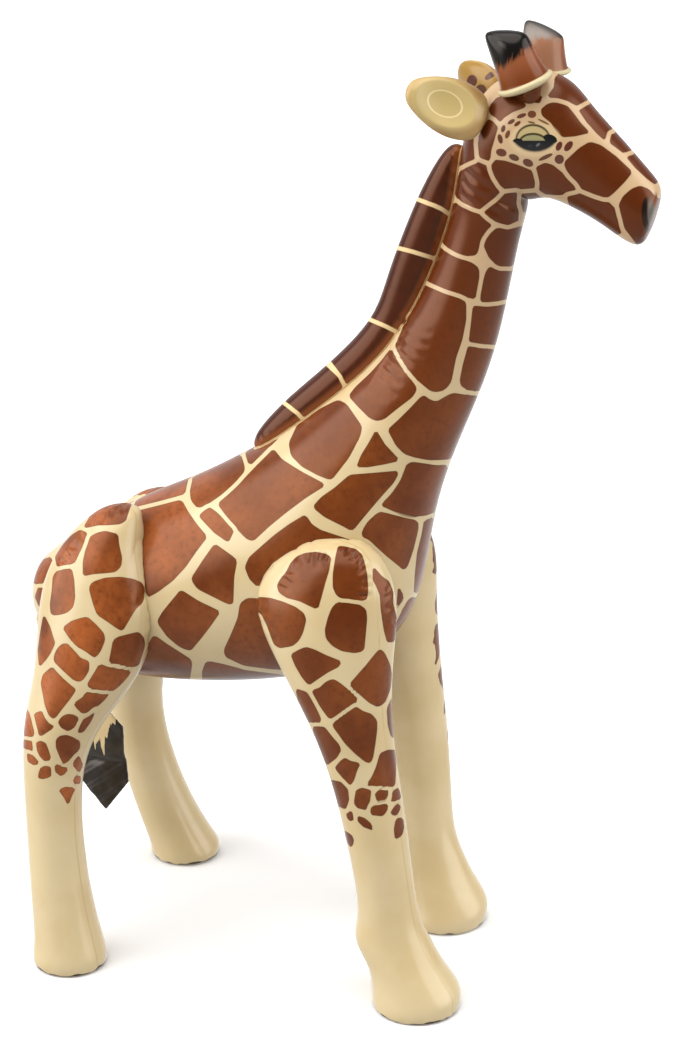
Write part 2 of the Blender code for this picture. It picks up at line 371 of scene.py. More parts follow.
def select_rings(piece: Piece, rings: Iterable[int], segments: int) -> None:
    """Selects whole rings of a cage in edit mode.

    Args:
        piece: The cage being edited.
        rings: The numbers of the rings.
        segments: The corners of each ring.
    """
    cage = bmesh.from_edit_mesh(piece.data)
    cage.verts.ensure_lookup_table()
    wanted = set(rings)
    for vert in cage.verts:
        vert.select = vert.index // segments in wanted
    cage.select_flush_mode()
    for edge in cage.edges:
        edge.select = all(vert.select for vert in edge.verts)
    bmesh.update_edit_mesh(piece.data)


def bridge_rings(piece: Piece, count: int, segments: int) -> None:
    """Joins the rings of a cage one to the next and closes both ends.

    Args:
        piece: The cage being edited.
        count: How many rings it has.
        segments: The corners of each ring.
    """
    bpy.ops.mesh.select_mode(type="VERT")
    for lower in range(count - 1):
        select_rings(piece, (lower, lower + 1), segments)
        bpy.ops.mesh.bridge_edge_loops()
    for end in (0, count - 1):
        select_rings(piece, (end,), segments)
        bpy.ops.mesh.edge_face_add()


def cut_back(piece: Piece, cutter: Piece) -> None:
    """Cuts a chamber back to the skin that it is welded on.

    Args:
        piece: The chamber.
        cutter: The skin, moved out by the contact gap.
    """
    cut = piece.modifiers.new("Weld line", "BOOLEAN")
    cut.operation = "DIFFERENCE"
    cut.object = cutter
    cut.solver = "MANIFOLD"
    apply_all(piece)
    activate(piece)
    bpy.ops.object.shade_smooth_by_angle(angle=SMOOTH_ANGLE)


def cad_copy(node: str, name: str) -> Piece:
    """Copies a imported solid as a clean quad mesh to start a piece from.

    Args:
        node: The solid's name.
        name: The new piece's name.

    Returns:
        The copy, with its doubles merged.
    """
    piece = bpy.data.objects.new(name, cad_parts[node].data.copy())
    bpy.context.scene.collection.objects.link(piece)
    piece.data.name = name
    piece.data.materials.clear()
    activate(piece)
    bpy.ops.object.mode_set(mode="EDIT")
    bpy.ops.mesh.select_all(action="SELECT")
    bpy.ops.mesh.remove_doubles(threshold=MERGE_DISTANCE)
    bpy.ops.mesh.tris_convert_to_quads(face_threshold=math.radians(60), shape_threshold=math.radians(90))
    bpy.ops.object.mode_set(mode="OBJECT")
    return piece


def finish_piece(piece: Piece, film: bpy.types.Material, nodes: Iterable[str]) -> None:
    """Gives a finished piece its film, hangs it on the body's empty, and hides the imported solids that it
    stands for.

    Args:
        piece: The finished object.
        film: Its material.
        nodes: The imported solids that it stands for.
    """
    piece.data.materials.clear()
    piece.data.materials.append(film)
    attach(piece, BODY)
    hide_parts(*nodes)
    LOG.info("%s: %d faces", piece.name, len(piece.data.polygons))


def mirrored_in(points: np.ndarray) -> np.ndarray:
    """Folds points onto the near side, where x is below zero.

    Args:
        points: One row for each point.

    Returns:
        The folded rows.
    """
    folded = points.copy()
    folded[:, 0] = -np.abs(folded[:, 0])
    return folded


@dataclass(frozen=True)
class Patch:
    """One printed brown patch, outlined by the x and y of each corner in the photograph's pixels."""

    name: str
    outline: Outline
    corner: float = 3.0

    def points(self) -> np.ndarray:
        """Gives one row of x and y for each corner of the outline."""
        return np.array(self.outline, float).reshape(-1, 2)

    def rounded(self) -> np.ndarray:
        """Rounds the outline's corners.

        Returns:
            One row for each point of the closed outline, in pixels.
        """
        points = self.points()
        made = []
        for before, point, after in zip(np.roll(points, 1, 0), points, np.roll(points, -1, 0)):
            for towards in (before, after):
                step = towards - point
                length = max(float(np.linalg.norm(step)), 1e-6)
                made.append(point + step / length * min(self.corner * CORNER_CUT, EDGE_SHARE * length))
        return np.array(made)

    def depth(self, pixels: np.ndarray) -> np.ndarray:
        """Measures how far places are inside the outline.

        Args:
            pixels: One row for each place.

        Returns:
            The distance in pixels, above zero inside and below zero outside.
        """
        outline = self.rounded()
        nearest = np.full(len(pixels), 1e9)
        inside = np.zeros(len(pixels), bool)
        for start, end in zip(outline, np.roll(outline, -1, 0)):
            run = end - start
            share = np.clip(((pixels - start) @ run) / max(float(run @ run), 1e-9), 0.0, 1.0)
            gap = np.linalg.norm(pixels - start - share[:, None] * run, axis=1)
            nearest = np.minimum(nearest, gap)
            crosses = (start[1] > pixels[:, 1]) != (end[1] > pixels[:, 1])
            slope = run[0] / run[1] if abs(run[1]) > 1e-9 else 0.0
            inside ^= crosses & (pixels[:, 0] < start[0] + (pixels[:, 1] - start[1]) * slope)
        return np.where(inside, nearest, -nearest)


def patches(*rows: tuple) -> tuple[Patch, ...]:
    """Makes the patches of one part of the toy from their names, outlines and corners."""
    return tuple(Patch(*row) for row in rows)


BODY_PATCHES = patches(
    ("back strip", (133, 507, 140, 492, 165, 484, 188, 478, 184, 493, 160, 500)),
    ("middle of the back", (194, 474, 191, 490, 192, 500, 198, 507, 206, 504, 222, 493, 236, 480,
          244, 470, 241, 456, 218, 464)),
    ("withers strip", (246, 455, 250, 464, 262, 453, 275, 440, 288, 426, 296, 417, 292, 405, 268, 425,
          252, 444)),
    ("flank, rear", (135, 512, 181, 501, 187, 512, 196, 525, 206, 537, 196, 550, 185, 566, 172, 580,
          156, 592, 146, 597, 136, 575, 128, 545)),
    ("flank bar", (200, 516, 209, 508, 216, 513, 233, 530, 228, 541, 215, 532), 2.0),
    ("flank, high", (219, 504, 235, 490, 252, 472, 273, 450, 281, 460, 295, 469, 324, 485, 305, 497,
          285, 512, 268, 526, 253, 540, 247, 538, 232, 522)),
    ("shoulder", (338, 401, 346, 405, 361, 427, 359, 436, 348, 457, 331, 479, 320, 475, 304, 467,
          292, 455, 290, 443, 299, 424, 306, 416, 322, 409)),
    ("flank, middle", (215, 545, 236, 560, 233, 577, 232, 604, 226, 602, 210, 594, 198, 588, 192, 579,
          203, 562)),
    ("over the arch", (305, 516, 311, 525, 320, 531, 332, 535, 350, 541, 335, 543, 318, 543, 300, 546,
          285, 553, 272, 562, 263, 574, 258, 586, 250, 578, 246, 567, 250, 558, 260, 549, 275, 536,
          290, 525), 2.0),
    ("flank, low", (181, 591, 198, 602, 219, 612, 210, 625, 200, 638, 190, 650, 180, 646, 168, 636,
          158, 622, 163, 613, 172, 602)),
    ("groin", (154, 636, 165, 644, 190, 660, 191, 664, 188, 684, 136, 684, 142, 660)),
    ("belly side", (248, 599, 262, 600, 280, 632, 296, 669, 270, 668, 245, 665, 226, 656, 225, 650,
          232, 635, 239, 618, 241, 604)),
    ("belly strip", (207, 662, 222, 665, 245, 671, 290, 677, 262, 690, 232, 692, 204, 684, 203, 672)),
    ("neck foot, rear", (391, 350, 398, 362, 407, 375, 416, 389, 412, 396, 395, 409, 384, 418,
          377, 420, 370, 417, 358, 405, 350, 396, 356, 388, 370, 375, 381, 363)),
    ("three-cornered", (376, 432, 384, 445, 398, 460, 385, 463, 368, 466, 358, 466, 362, 456,
          370, 443), 1.5),
    ("neck foot, front", (423, 396, 430, 401, 437, 403, 445, 398, 453, 394, 465, 396, 484, 398,
          476, 418, 462, 442, 450, 458, 437, 459, 420, 458, 405, 453, 397, 445, 389, 430, 400, 420,
          412, 408)),
    ("shoulder, low", (350, 476, 375, 474, 398, 472, 393, 482, 382, 494, 370, 508, 360, 520, 352, 530,
          345, 526, 335, 521, 325, 516, 314, 507, 322, 498, 335, 489)),
    ("chest", (408, 464, 418, 463, 437, 467, 447, 466, 443, 482, 436, 500, 433, 514, 420, 515,
          405, 513, 392, 509, 382, 505, 392, 495, 401, 482, 405, 472)),
    ("chest, low", (379, 513, 385, 514, 400, 517, 415, 521, 418, 525, 417, 535, 412, 550, 407, 565,
          404, 569, 397, 563, 387, 555, 375, 544, 370, 539, 363, 536, 363, 532, 368, 523)),
    ("chest sliver", (425, 522, 432, 517, 434, 535, 432, 560, 430, 577, 425, 582, 417, 594, 415, 592,
          416, 575, 418, 555, 421, 538), 1.5),
    ("chest pucker", (419, 596, 422, 608, 414, 618, 407, 634, 399, 648, 387, 650, 384, 641, 389, 632,
          396, 620, 401, 607, 409, 600), 1.5),
    ("chest splinter", (399, 589, 402, 595, 403, 602, 399, 612, 394, 620, 398, 603), 1.0),
    ("rump bump", (35, 583, 33, 572, 40, 562, 50, 558, 53, 562, 48, 570, 44, 578, 42, 583), 1.5),
    ("rump dot", (39, 588, 46, 590, 45, 604, 40, 606, 36, 597), 1.5),
)

NECK_PATCHES = patches(
    ("nape", (461, 171, 470, 165, 480, 161, 486, 166, 490, 176, 497, 187, 500, 191, 494, 199, 480, 209,
          474, 208, 463, 202, 456, 195, 457, 185)),
    ("neck 1", (455, 203, 460, 207, 478, 214, 491, 225, 485, 234, 479, 243, 476, 254, 466, 255,
          455, 252, 445, 246, 440, 238, 443, 227, 450, 212)),
    ("neck 2", (438, 245, 446, 252, 458, 259, 472, 264, 478, 269, 478, 280, 475, 298, 462, 295,
          445, 289, 428, 281, 422, 276, 427, 262, 433, 250)),
    ("neck 3", (420, 283, 430, 288, 445, 294, 460, 298, 465, 303, 465, 320, 461, 340, 455, 357,
          452, 372, 450, 382, 444, 389, 437, 391, 431, 390, 420, 381, 408, 370, 401, 358, 396, 346,
          402, 333, 408, 315, 413, 300)),
    ("throat 1", (484, 212, 492, 205, 500, 199, 507, 193, 517, 191, 517, 203, 521, 212, 519, 219,
          508, 224, 500, 222, 490, 218), 2.0),
    ("throat corner", (522, 194, 534, 193, 541, 198, 531, 204, 525, 212, 522, 217, 520, 205), 1.5),
    ("throat 2", (498, 229, 508, 231, 523, 227, 521, 240, 517, 255, 511, 267, 498, 265, 490, 257,
          485, 246, 485, 240, 490, 233), 2.0),
    ("throat 3", (490, 268, 500, 272, 515, 270, 513, 285, 509, 298, 498, 301, 482, 301, 481, 296,
          484, 282, 487, 272), 1.5),
    ("throat 4", (474, 307, 488, 308, 508, 304, 506, 320, 500, 344, 480, 343, 470, 341,
          472, 325), 1.5),
    ("throat 5", (469, 347, 480, 349, 499, 351, 495, 368, 488, 387, 478, 390, 468, 389, 462, 385,
          461, 380, 464, 365), 1.5),
)

HEAD_PATCHES = patches(
    ("brow, rear", (492, 105, 497, 99, 506, 96, 517, 99, 525, 105, 523, 107, 512, 111, 503, 117,
          499, 122, 493, 116, 490, 110), 1.5),
    ("below the ear", (489, 120, 494, 121, 497, 126, 493, 140, 490, 150, 489, 160, 482, 160, 478, 155,
          477, 143, 482, 132), 1.5),
    ("ear foot", (462, 139, 474, 139, 475, 152, 475, 160, 462, 165, 458, 166, 459, 152), 1.5),
    ("jaw", (495, 161, 505, 162, 520, 167, 532, 172, 536, 182, 534, 188, 520, 189, 507, 189, 500, 187,
          494, 178, 491, 168), 2.5),
    ("cheek, rear", (537, 168, 545, 164, 552, 166, 562, 174, 575, 185, 576, 190, 560, 194, 545, 193,
          540, 190, 538, 178), 2.0),
    ("cheek", (565, 163, 580, 149, 590, 143, 600, 146, 615, 157, 631, 172, 624, 181, 612, 193,
          605, 198, 595, 195, 580, 187, 570, 176)),
    ("brow, front", (542, 110, 548, 105, 556, 103, 566, 106, 572, 113, 580, 124, 588, 132, 575, 135,
          563, 136, 557, 130, 552, 122, 543, 115), 2.0),
    ("forehead", (549, 96, 555, 88, 556, 78, 562, 73, 578, 71, 586, 84, 594, 99, 584, 103, 578, 105,
          570, 101, 560, 98), 1.5),
    ("nose 1", (580, 110, 587, 104, 596, 100, 604, 113, 617, 129, 608, 132, 606, 140, 598, 133,
          588, 122), 1.5),
    ("nose 2", (611, 133, 622, 129, 630, 138, 638, 149, 630, 152, 625, 153, 616, 146, 609, 141), 1.2),
    ("nose 3", (627, 156, 636, 152, 645, 161, 655, 171, 661, 177, 655, 183, 648, 178, 636, 167), 1.2),
    ("jaw, low", (568, 196, 578, 194, 592, 198, 608, 203, 614, 209, 618, 220, 620, 233, 612, 233,
          600, 223, 585, 213, 570, 204), 1.5),
    ("muzzle", (624, 197, 632, 190, 640, 187, 648, 190, 655, 198, 668, 204, 670, 225, 664, 240,
          652, 248, 641, 248, 635, 240, 629, 232, 624, 226, 621, 215, 620, 205), 2.5),
    ("crown dot 1", (467, 79, 471, 76, 476, 80, 474, 86, 468, 85), 1.0),
    ("crown dot 2", (485, 78, 490, 71, 495, 71, 492, 77, 487, 80), 1.0),
    ("crown dot 3", (476, 87, 483, 84, 486, 88, 482, 93, 477, 91), 1.0),
    ("below the horn", (533, 98, 541, 97, 539, 102, 534, 101), 0.8),
)

HIND_PATCHES = patches(
    ("rump top", (85, 527, 92, 515, 108, 500, 122, 493, 134, 495, 128, 510, 125, 520, 120, 523,
          108, 524, 98, 524), 2.0),
    ("rump, rear", (58, 566, 56, 556, 63, 546, 72, 536, 80, 531, 86, 533, 84, 542, 78, 553, 74, 562,
          68, 564), 2.0),
    ("thigh top", (84, 575, 84, 562, 87, 548, 90, 538, 97, 534, 105, 532, 117, 535, 118, 545, 121, 558,
          120, 566, 115, 571, 105, 572, 92, 573), 2.5),
    ("thigh, rear", (52, 614, 51, 605, 53, 590, 54, 577, 57, 572, 66, 569, 71, 570, 73, 580, 74, 597,
          72, 607, 66, 612, 58, 614), 2.5),
    ("thigh", (90, 588, 93, 583, 105, 579, 120, 578, 133, 580, 142, 584, 144, 592, 142, 602, 135, 608,
          129, 618, 122, 630, 117, 627, 107, 620, 98, 614, 94, 603)),
    ("thigh, low", (64, 628, 72, 622, 82, 619, 87, 618, 95, 625, 103, 634, 104, 640, 100, 650, 95, 657,
          87, 651, 77, 645, 70, 637), 2.0),
    ("rear strip", (44, 617, 49, 627, 52, 637, 54, 643, 50, 652, 46, 658, 40, 665, 39, 650,
          41, 635), 1.5),
    ("knee, front", (114, 641, 118, 638, 126, 636, 134, 634, 138, 633, 143, 638, 144, 645, 141, 655,
          138, 665, 130, 666, 119, 663, 110, 662, 112, 652), 2.5),
    ("knee", (57, 651, 61, 646, 66, 644, 72, 650, 80, 659, 88, 662, 88, 670, 84, 677, 80, 681, 74, 679,
          64, 670, 55, 661, 55, 656), 2.0),
    ("shin, front", (100, 665, 107, 668, 118, 670, 130, 672, 122, 682, 113, 690, 103, 690, 92, 688,
          88, 685, 91, 680, 96, 672), 2.0),
    ("shin, rear", (52, 668, 56, 673, 63, 680, 71, 687, 75, 690, 68, 700, 60, 710, 54, 718, 50, 715,
          46, 705, 44, 694, 42, 683, 44, 675), 2.0),
    ("shin wedge", (86, 693, 95, 694, 104, 695, 108, 694, 103, 700, 95, 707, 87, 714, 82, 712, 77, 707,
          75, 704, 79, 701, 85, 697), 1.5),
    ("shin 1", (34, 715, 41, 712, 44, 719, 48, 724, 53, 727, 47, 731, 41, 735, 39, 733, 36, 724), 1.2),
    ("shin 2", (59, 722, 63, 717, 68, 715, 74, 716, 78, 719, 76, 724, 72, 728, 68, 730, 62, 727), 1.5),
    ("heel strip", (26, 710, 31, 718, 34, 732, 32, 736, 20, 735, 21, 722), 1.2),
    ("front edge strip", (79, 732, 81, 724, 87, 717, 95, 710, 90, 721, 83, 731), 0.8),
    ("shin 3", (57, 740, 60, 737, 66, 736, 72, 738, 79, 742, 79, 748, 75, 754, 68, 760, 64, 763,
          61, 757, 57, 747), 1.5),
    ("shin 4", (37, 743, 41, 742, 45, 744, 48, 752, 50, 759, 45, 760, 41, 756, 38, 750), 1.2),
    ("shin 5", (23, 740, 31, 742, 32, 750, 24, 747), 1.0),
    ("shin 6", (28, 754, 33, 757, 38, 763, 34, 764, 29, 761), 1.0),
    ("shin 7", (41, 769, 45, 767, 50, 768, 50, 776, 43, 778, 39, 777), 1.0),
    ("shin 8", (56, 765, 60, 767, 67, 769, 64, 773, 61, 775, 56, 771), 1.0),
    ("shin 9", (78, 756, 82, 765, 79, 771, 74, 765, 75, 760), 1.0),
    ("shin 10", (76, 777, 80, 777, 79, 783, 74, 782), 1.0),
    ("shin point", (60, 790, 66, 788, 74, 789, 71, 795, 68, 803, 65, 797), 1.0),
)

FRONT_PATCHES = patches(
    ("arch, rear", (278, 586, 281, 580, 287, 573, 292, 563, 298, 557, 306, 554, 316, 553, 326, 555,
          330, 558, 328, 570, 324, 583, 320, 598, 317, 608, 310, 605, 300, 600, 288, 597, 280, 592), 2.0),
    ("arch, front", (339, 547, 347, 548, 355, 550, 361, 555, 364, 565, 366, 575, 367, 590, 366, 599,
          355, 600, 343, 599, 337, 594, 334, 587, 334, 575, 336, 560), 2.0),
    ("elbow", (256, 598, 270, 599, 283, 603, 295, 608, 303, 614, 305, 620, 302, 632, 298, 640,
          292, 645, 280, 647, 275, 644, 272, 636, 268, 625, 262, 613, 256, 610), 2.0),
    ("upper arm", (338, 603, 347, 602, 358, 605, 365, 610, 366, 618, 364, 640, 363, 650, 355, 652,
          342, 650, 333, 645, 327, 638, 326, 630, 329, 618, 333, 608), 2.5),
    ("elbow, low", (292, 655, 299, 651, 306, 648, 315, 651, 325, 656, 340, 662, 338, 666, 328, 671,
          316, 679, 309, 684, 303, 677, 296, 665), 2.0),
    ("forearm, front", (380, 650, 384, 654, 389, 665, 391, 675, 389, 690, 384, 702, 378, 706, 370, 702,
          362, 695, 354, 688, 351, 684, 358, 676, 366, 667, 374, 657), 2.5),
    ("forearm", (313, 691, 320, 689, 326, 683, 333, 680, 341, 685, 350, 693, 357, 700, 350, 706,
          340, 712, 330, 718, 326, 713, 319, 703), 2.0),
    ("forearm, low", (355, 707, 362, 712, 371, 715, 376, 721, 376, 730, 374, 745, 372, 757, 370, 762,
          366, 761, 356, 753, 346, 743, 339, 733, 333, 725, 340, 719, 348, 712), 2.0),
    ("rear edge 1", (297, 690, 306, 693, 313, 704, 320, 719, 319, 722, 308, 721, 300, 706), 1.2),
    ("rear edge 2", (314, 727, 324, 728, 331, 737, 338, 745, 340, 750, 336, 757, 327, 764, 320, 750,
          315, 738), 1.5),
    ("rear edge 3", (331, 781, 341, 783, 347, 790, 348, 800, 345, 808, 336, 804, 331, 792), 1.5),
    ("wrist 1", (336, 768, 341, 762, 345, 759, 350, 762, 359, 764, 356, 770, 353, 780, 350, 784,
          345, 779), 1.2),
    ("wrist 2", (381, 754, 388, 751, 395, 751, 395, 765, 394, 785, 385, 786, 368, 784, 372, 779,
          377, 768), 1.5),
    ("front edge", (388, 709, 391, 702, 395, 692, 398, 705, 397, 722, 397, 738, 392, 736,
          389, 725), 1.2),
    ("arch edge", (374, 569, 381, 577, 388, 582, 392, 592, 392, 604, 395, 615, 397, 630, 393, 641,
          388, 641, 385, 630, 382, 610, 381, 595, 377, 585, 374, 580), 1.2),
    ("cuff 1", (357, 791, 362, 789, 370, 791, 369, 800, 366, 809, 358, 807, 355, 803), 1.2),
    ("cuff 2", (376, 794, 381, 790, 387, 791, 388, 797, 378, 801), 1.0),
    ("cuff 3", (394, 791, 398, 789, 400, 797, 396, 801, 391, 800), 1.0),
    ("cuff 4", (371, 808, 380, 805, 387, 805, 386, 811, 382, 815, 372, 814), 1.0),
    ("cuff 5", (394, 809, 398, 804, 400, 808, 396, 814, 391, 814), 1.0),
    ("cuff 6", (347, 815, 351, 812, 353, 819, 350, 820), 0.8),
    ("cuff 7", (358, 817, 364, 819, 370, 824, 372, 829, 364, 826, 359, 821), 0.8),
    ("cuff 8", (397, 819, 402, 819, 403, 828, 401, 835, 396, 838, 395, 829), 1.0),
    ("cuff 9", (345, 832, 351, 836, 353, 841, 351, 846, 347, 840), 0.8),
)

MANE_PATCHES = patches(
    ("mane 1", (424, 176, 438, 140, 462, 136, 466, 172, 460, 196, 450, 213, 435, 203, 408, 193), 1.0),
    ("mane 2", (402, 196, 430, 207, 441, 210, 452, 218, 446, 240, 436, 257, 412, 249, 388, 243,
          394, 221), 1.0),
    ("mane 3", (384, 247, 412, 254, 436, 261, 430, 280, 418, 306, 405, 333, 385, 323, 358, 312,
          372, 283), 1.0),
    ("mane 4", (356, 316, 385, 329, 403, 338, 390, 362, 374, 382, 350, 394, 343, 375, 324, 350,
          342, 334), 1.0),
    ("mane 5", (316, 358, 337, 378, 345, 391, 326, 408, 306, 420, 281, 397, 298, 378), 1.0),
    ("mane 6", (274, 399, 297, 414, 304, 424, 288, 440, 270, 456, 244, 454, 254, 424), 1.0),
)


@dataclass
class CoatPrint:
    """Lays the printed patches on a chamber as a distance inside the nearest patch, in mm."""

    patches: tuple[Patch, ...]
    grows: bool
    blend_facing: float = 0.16
    hidden_spacing: float = 46.0
    neck_spacing: float = 27.0
    neck_height: float = 0.52
    neck_blend: float = 0.2
    site_step: int = 7
    edge_reach: float = 2.5
    growth: float = 1.2
    least_gap: float = 3.6
    most_seeds: int = 90
    fullness: float = 0.85
    seed_size: float = 0.22
    seam_share: float = 0.065
    wave_scale: float = 26.0
    wave_height: float = 2.2
    sure_depth: float = 1.2
    sure_facing: float = 0.02

    def facing(self, points: np.ndarray, normals: np.ndarray) -> np.ndarray:
        """Measures how squarely folded points face the photograph's viewer.

        Args:
            points: Folded places, in metres.
            normals: Folded normals.

        Returns:
            The cosine between each normal and the way to the viewer.
        """
        towards = np.array(PHOTO.place()) - points
        towards /= np.linalg.norm(towards, axis=1)[:, None]
        return (towards * normals).sum(axis=1)

    def seen_depth(self, points: np.ndarray) -> tuple[np.ndarray, np.ndarray]:
        """Measures how deep folded points lie in the outlined patches.

        Args:
            points: Folded places, in metres.

        Returns:
            The depth in mm, and the number of the patch that it belongs to.
        """
        picture = PHOTO.seen(points)
        scale = picture[:, 2] / PHOTO.focal_pixels / MM
        best = np.full(len(points), -FAR_DEPTH)
        second = np.full(len(points), -FAR_DEPTH)
        owner = np.full(len(points), -1)
        for number, patch in enumerate(self.patches):
            outline = patch.points()
            low = outline.min(axis=0) - FAR_DEPTH
            high = outline.max(axis=0) + FAR_DEPTH
            near = np.all((picture[:, :2] > low) & (picture[:, :2] < high), axis=1)
            if not near.any():
                continue
            found = np.full(len(points), -FAR_DEPTH)
            found[near] = patch.depth(picture[near, :2]) * scale[near]
            better = found > best
            second = np.where(better, best, np.maximum(second, found))
            best[better] = found[better]
            owner[better] = number
        return np.minimum(best + self.growth, (best - second) / 2 - self.least_gap / 2), owner

    def spacing(self, points: np.ndarray) -> np.ndarray:
        """Gives the size of the patches that grow where the photograph doesn't reach.

        Args:
            points: Folded places, in metres.

        Returns:
            The distance between patch middles at each place, in metres.
        """
        share = np.clip((points[:, 2] - self.neck_height) / self.neck_blend + 0.5, 0.0, 1.0)
        return (self.hidden_spacing + (self.neck_spacing - self.hidden_spacing) * share) * MM

    def grown_depth(self, points: np.ndarray, sites: list[np.ndarray]) -> np.ndarray:
        """Measures depth where patches grow till they meet, away from the photograph.

        Args:
            points: The hidden places, folded, in metres.
            sites: The places that belong to each outlined patch.

        Returns:
            The depth in mm.
        """
        near = np.full((len(sites), len(points)), 1.0)
        for number, site in enumerate(sites):
            near[number] = least_gaps(points, site)
        spacing = self.spacing(points)
        rows = [near]
        closest = near.min(axis=0) if len(sites) else np.full(len(points), 1.0)
        for _ in range(self.most_seeds):
            score = closest / spacing
            chosen = int(np.argmax(score))
            if score[chosen] < self.fullness:
                break
            gaps = np.linalg.norm(points - points[chosen], axis=1)
            rows.append((gaps + spacing * self.seed_size)[None, :])
            closest = np.minimum(closest, gaps)
        every = np.concatenate(rows, axis=0)
        two = np.partition(every, 1, axis=0)[:2]
        wave = np.array([noise.noise(Vector(point) * self.wave_scale) for point in points]) * self.wave_height
        return ((two[1] - two[0]) / 2 - spacing * self.seam_share) / MM + wave

    def lay(self, piece: Piece, to_near: Callable[[np.ndarray], np.ndarray]) -> None:
        """Writes the print onto a chamber.

        Args:
            piece: The chamber's mesh object.
            to_near: Carries its points onto the near side's chamber.
        """
        points = to_near(corners_of(piece))
        normals = corners_of(piece, "normal")
        side = np.where(corners_of(piece)[:, 0] > 0, -1.0, 1.0)
        normals[:, 0] *= side
        facing = self.facing(points, normals)
        seen, owner = self.seen_depth(points)
        hidden = facing < self.blend_facing
        sites = []
        for number in range(len(self.patches)):
            mine = np.flatnonzero((owner == number) & (seen > self.sure_depth) & (facing > self.sure_facing))
            if len(mine):
                sites.append(points[mine[:: self.site_step]])
        beyond = np.full(len(points), -FAR_DEPTH)
        if self.grows:
            beyond[hidden] = self.grown_depth(points[hidden], sites)
        elif sites:
            beyond[hidden] = self.edge_reach - least_gaps(points[hidden], np.concatenate(sites)) / MM
        share = np.clip(facing / self.blend_facing, 0.0, 1.0)
        share = share * share * (3 - 2 * share)
        write_values(piece, "print_depth", seen * share + beyond * (1 - share))


def keep_clear(piece: Piece, other: BVHTree, line: float) -> None:
    """Keeps the print of a chamber off the weld of another one.

    Args:
        piece: The printed chamber.
        other: The search tree of the chamber that is welded on it.
        line: The width of the cream line along the weld, in mm.
    """
    stored = piece.data.attributes["print_depth"]
    depth = np.zeros(len(piece.data.vertices), np.float32)
    stored.data.foreach_get("value", depth)
    for number, point in enumerate(corners_of(piece)):
        gap = other.find_nearest(Vector(point), (line + FAR_DEPTH) * MM)[3]
        if gap is not None:
            depth[number] = min(depth[number], gap / MM - line)
    write_values(piece, "print_depth", depth)


@dataclass(frozen=True)
class Crease:
    """One crease pressed into a chamber, from one pixel of the photograph to another."""

    start: Pixel
    end: Pixel
    depth: float = 1.0
    width: float = 2.4


@dataclass(frozen=True)
class PuckerRow:
    """Short creases that run from a weld towards one place, in the photograph's pixels."""

    path: tuple[Pixel, ...]
    aim: Pixel
    count: int
    length: float = 12.0
    depth: float = 1.5
    width: float = 2.2
    place_sway: float = 0.2
    length_sway: float = 0.25
    depth_sway: float = 0.2

    def creases(self) -> list[Crease]:
        """Gives the creases of the row.

        Returns:
            One crease for each pucker.
        """
        points = np.array(self.path, float)
        steps = np.linalg.norm(np.diff(points, axis=0), axis=1)
        runs = np.concatenate([[0.0], np.cumsum(steps)])
        made = []
        for number in range(self.count):
            place = runs[-1] * (number + 0.5 + self.place_sway * math.sin(number * 3.7)) / self.count
            start = np.array([np.interp(place, runs, points[:, side]) for side in (0, 1)])
            way = np.array(self.aim) - start
            reach = self.length * (1 - self.length_sway + self.length_sway * math.sin(number * 2.4))
            end = start + way / np.linalg.norm(way) * reach
            depth = self.depth * (1 - self.depth_sway + self.depth_sway * math.cos(number))
            made.append(Crease(tuple(start), tuple(end), depth, self.width))
        return made


def press_creases(piece: Piece, creases: Iterable[Crease], fold: bool) -> None:
    """Presses creases into a chamber's surface.

    Args:
        piece: The chamber's mesh object.
        creases: The creases, seen in the photograph.
        fold: Whether the far side has the same creases, mirrored.
    """
    surface = tree_of(piece)
    eye = PHOTO.place()
    points = corners_of(piece)
    normals = corners_of(piece, "normal")
    folded = mirrored_in(points) if fold else points
    moved = np.zeros(len(points))
    for crease in creases:
        hits = [surface.ray_cast(eye, PHOTO.ray(pixel))[0] for pixel in (crease.start, crease.end)]
        if None in hits:
            continue
        start, end = (np.array(hit) for hit in hits)
        run = end - start
        share = np.clip(((folded - start) @ run) / max(float(run @ run), 1e-12), 0.0, 1.0)
        gap = np.linalg.norm(folded - start - share[:, None] * run, axis=1) / MM
        rising = CREASE_START + (1.0 - CREASE_START) * share / CREASE_HEAD
        falling = 1.0 - ((share - CREASE_HEAD) / (1.0 - CREASE_HEAD)) ** 2
        taper = np.where(share < CREASE_HEAD, rising, falling)
        groove = np.exp(-((gap / crease.width) ** 2))
        lip = np.exp(-(((gap / crease.width) - LIP_PLACE) ** 2))
        moved += crease.depth * taper * (LIP_HEIGHT * lip - groove)
    move_corners(piece, points + normals * (moved * MM)[:, None])


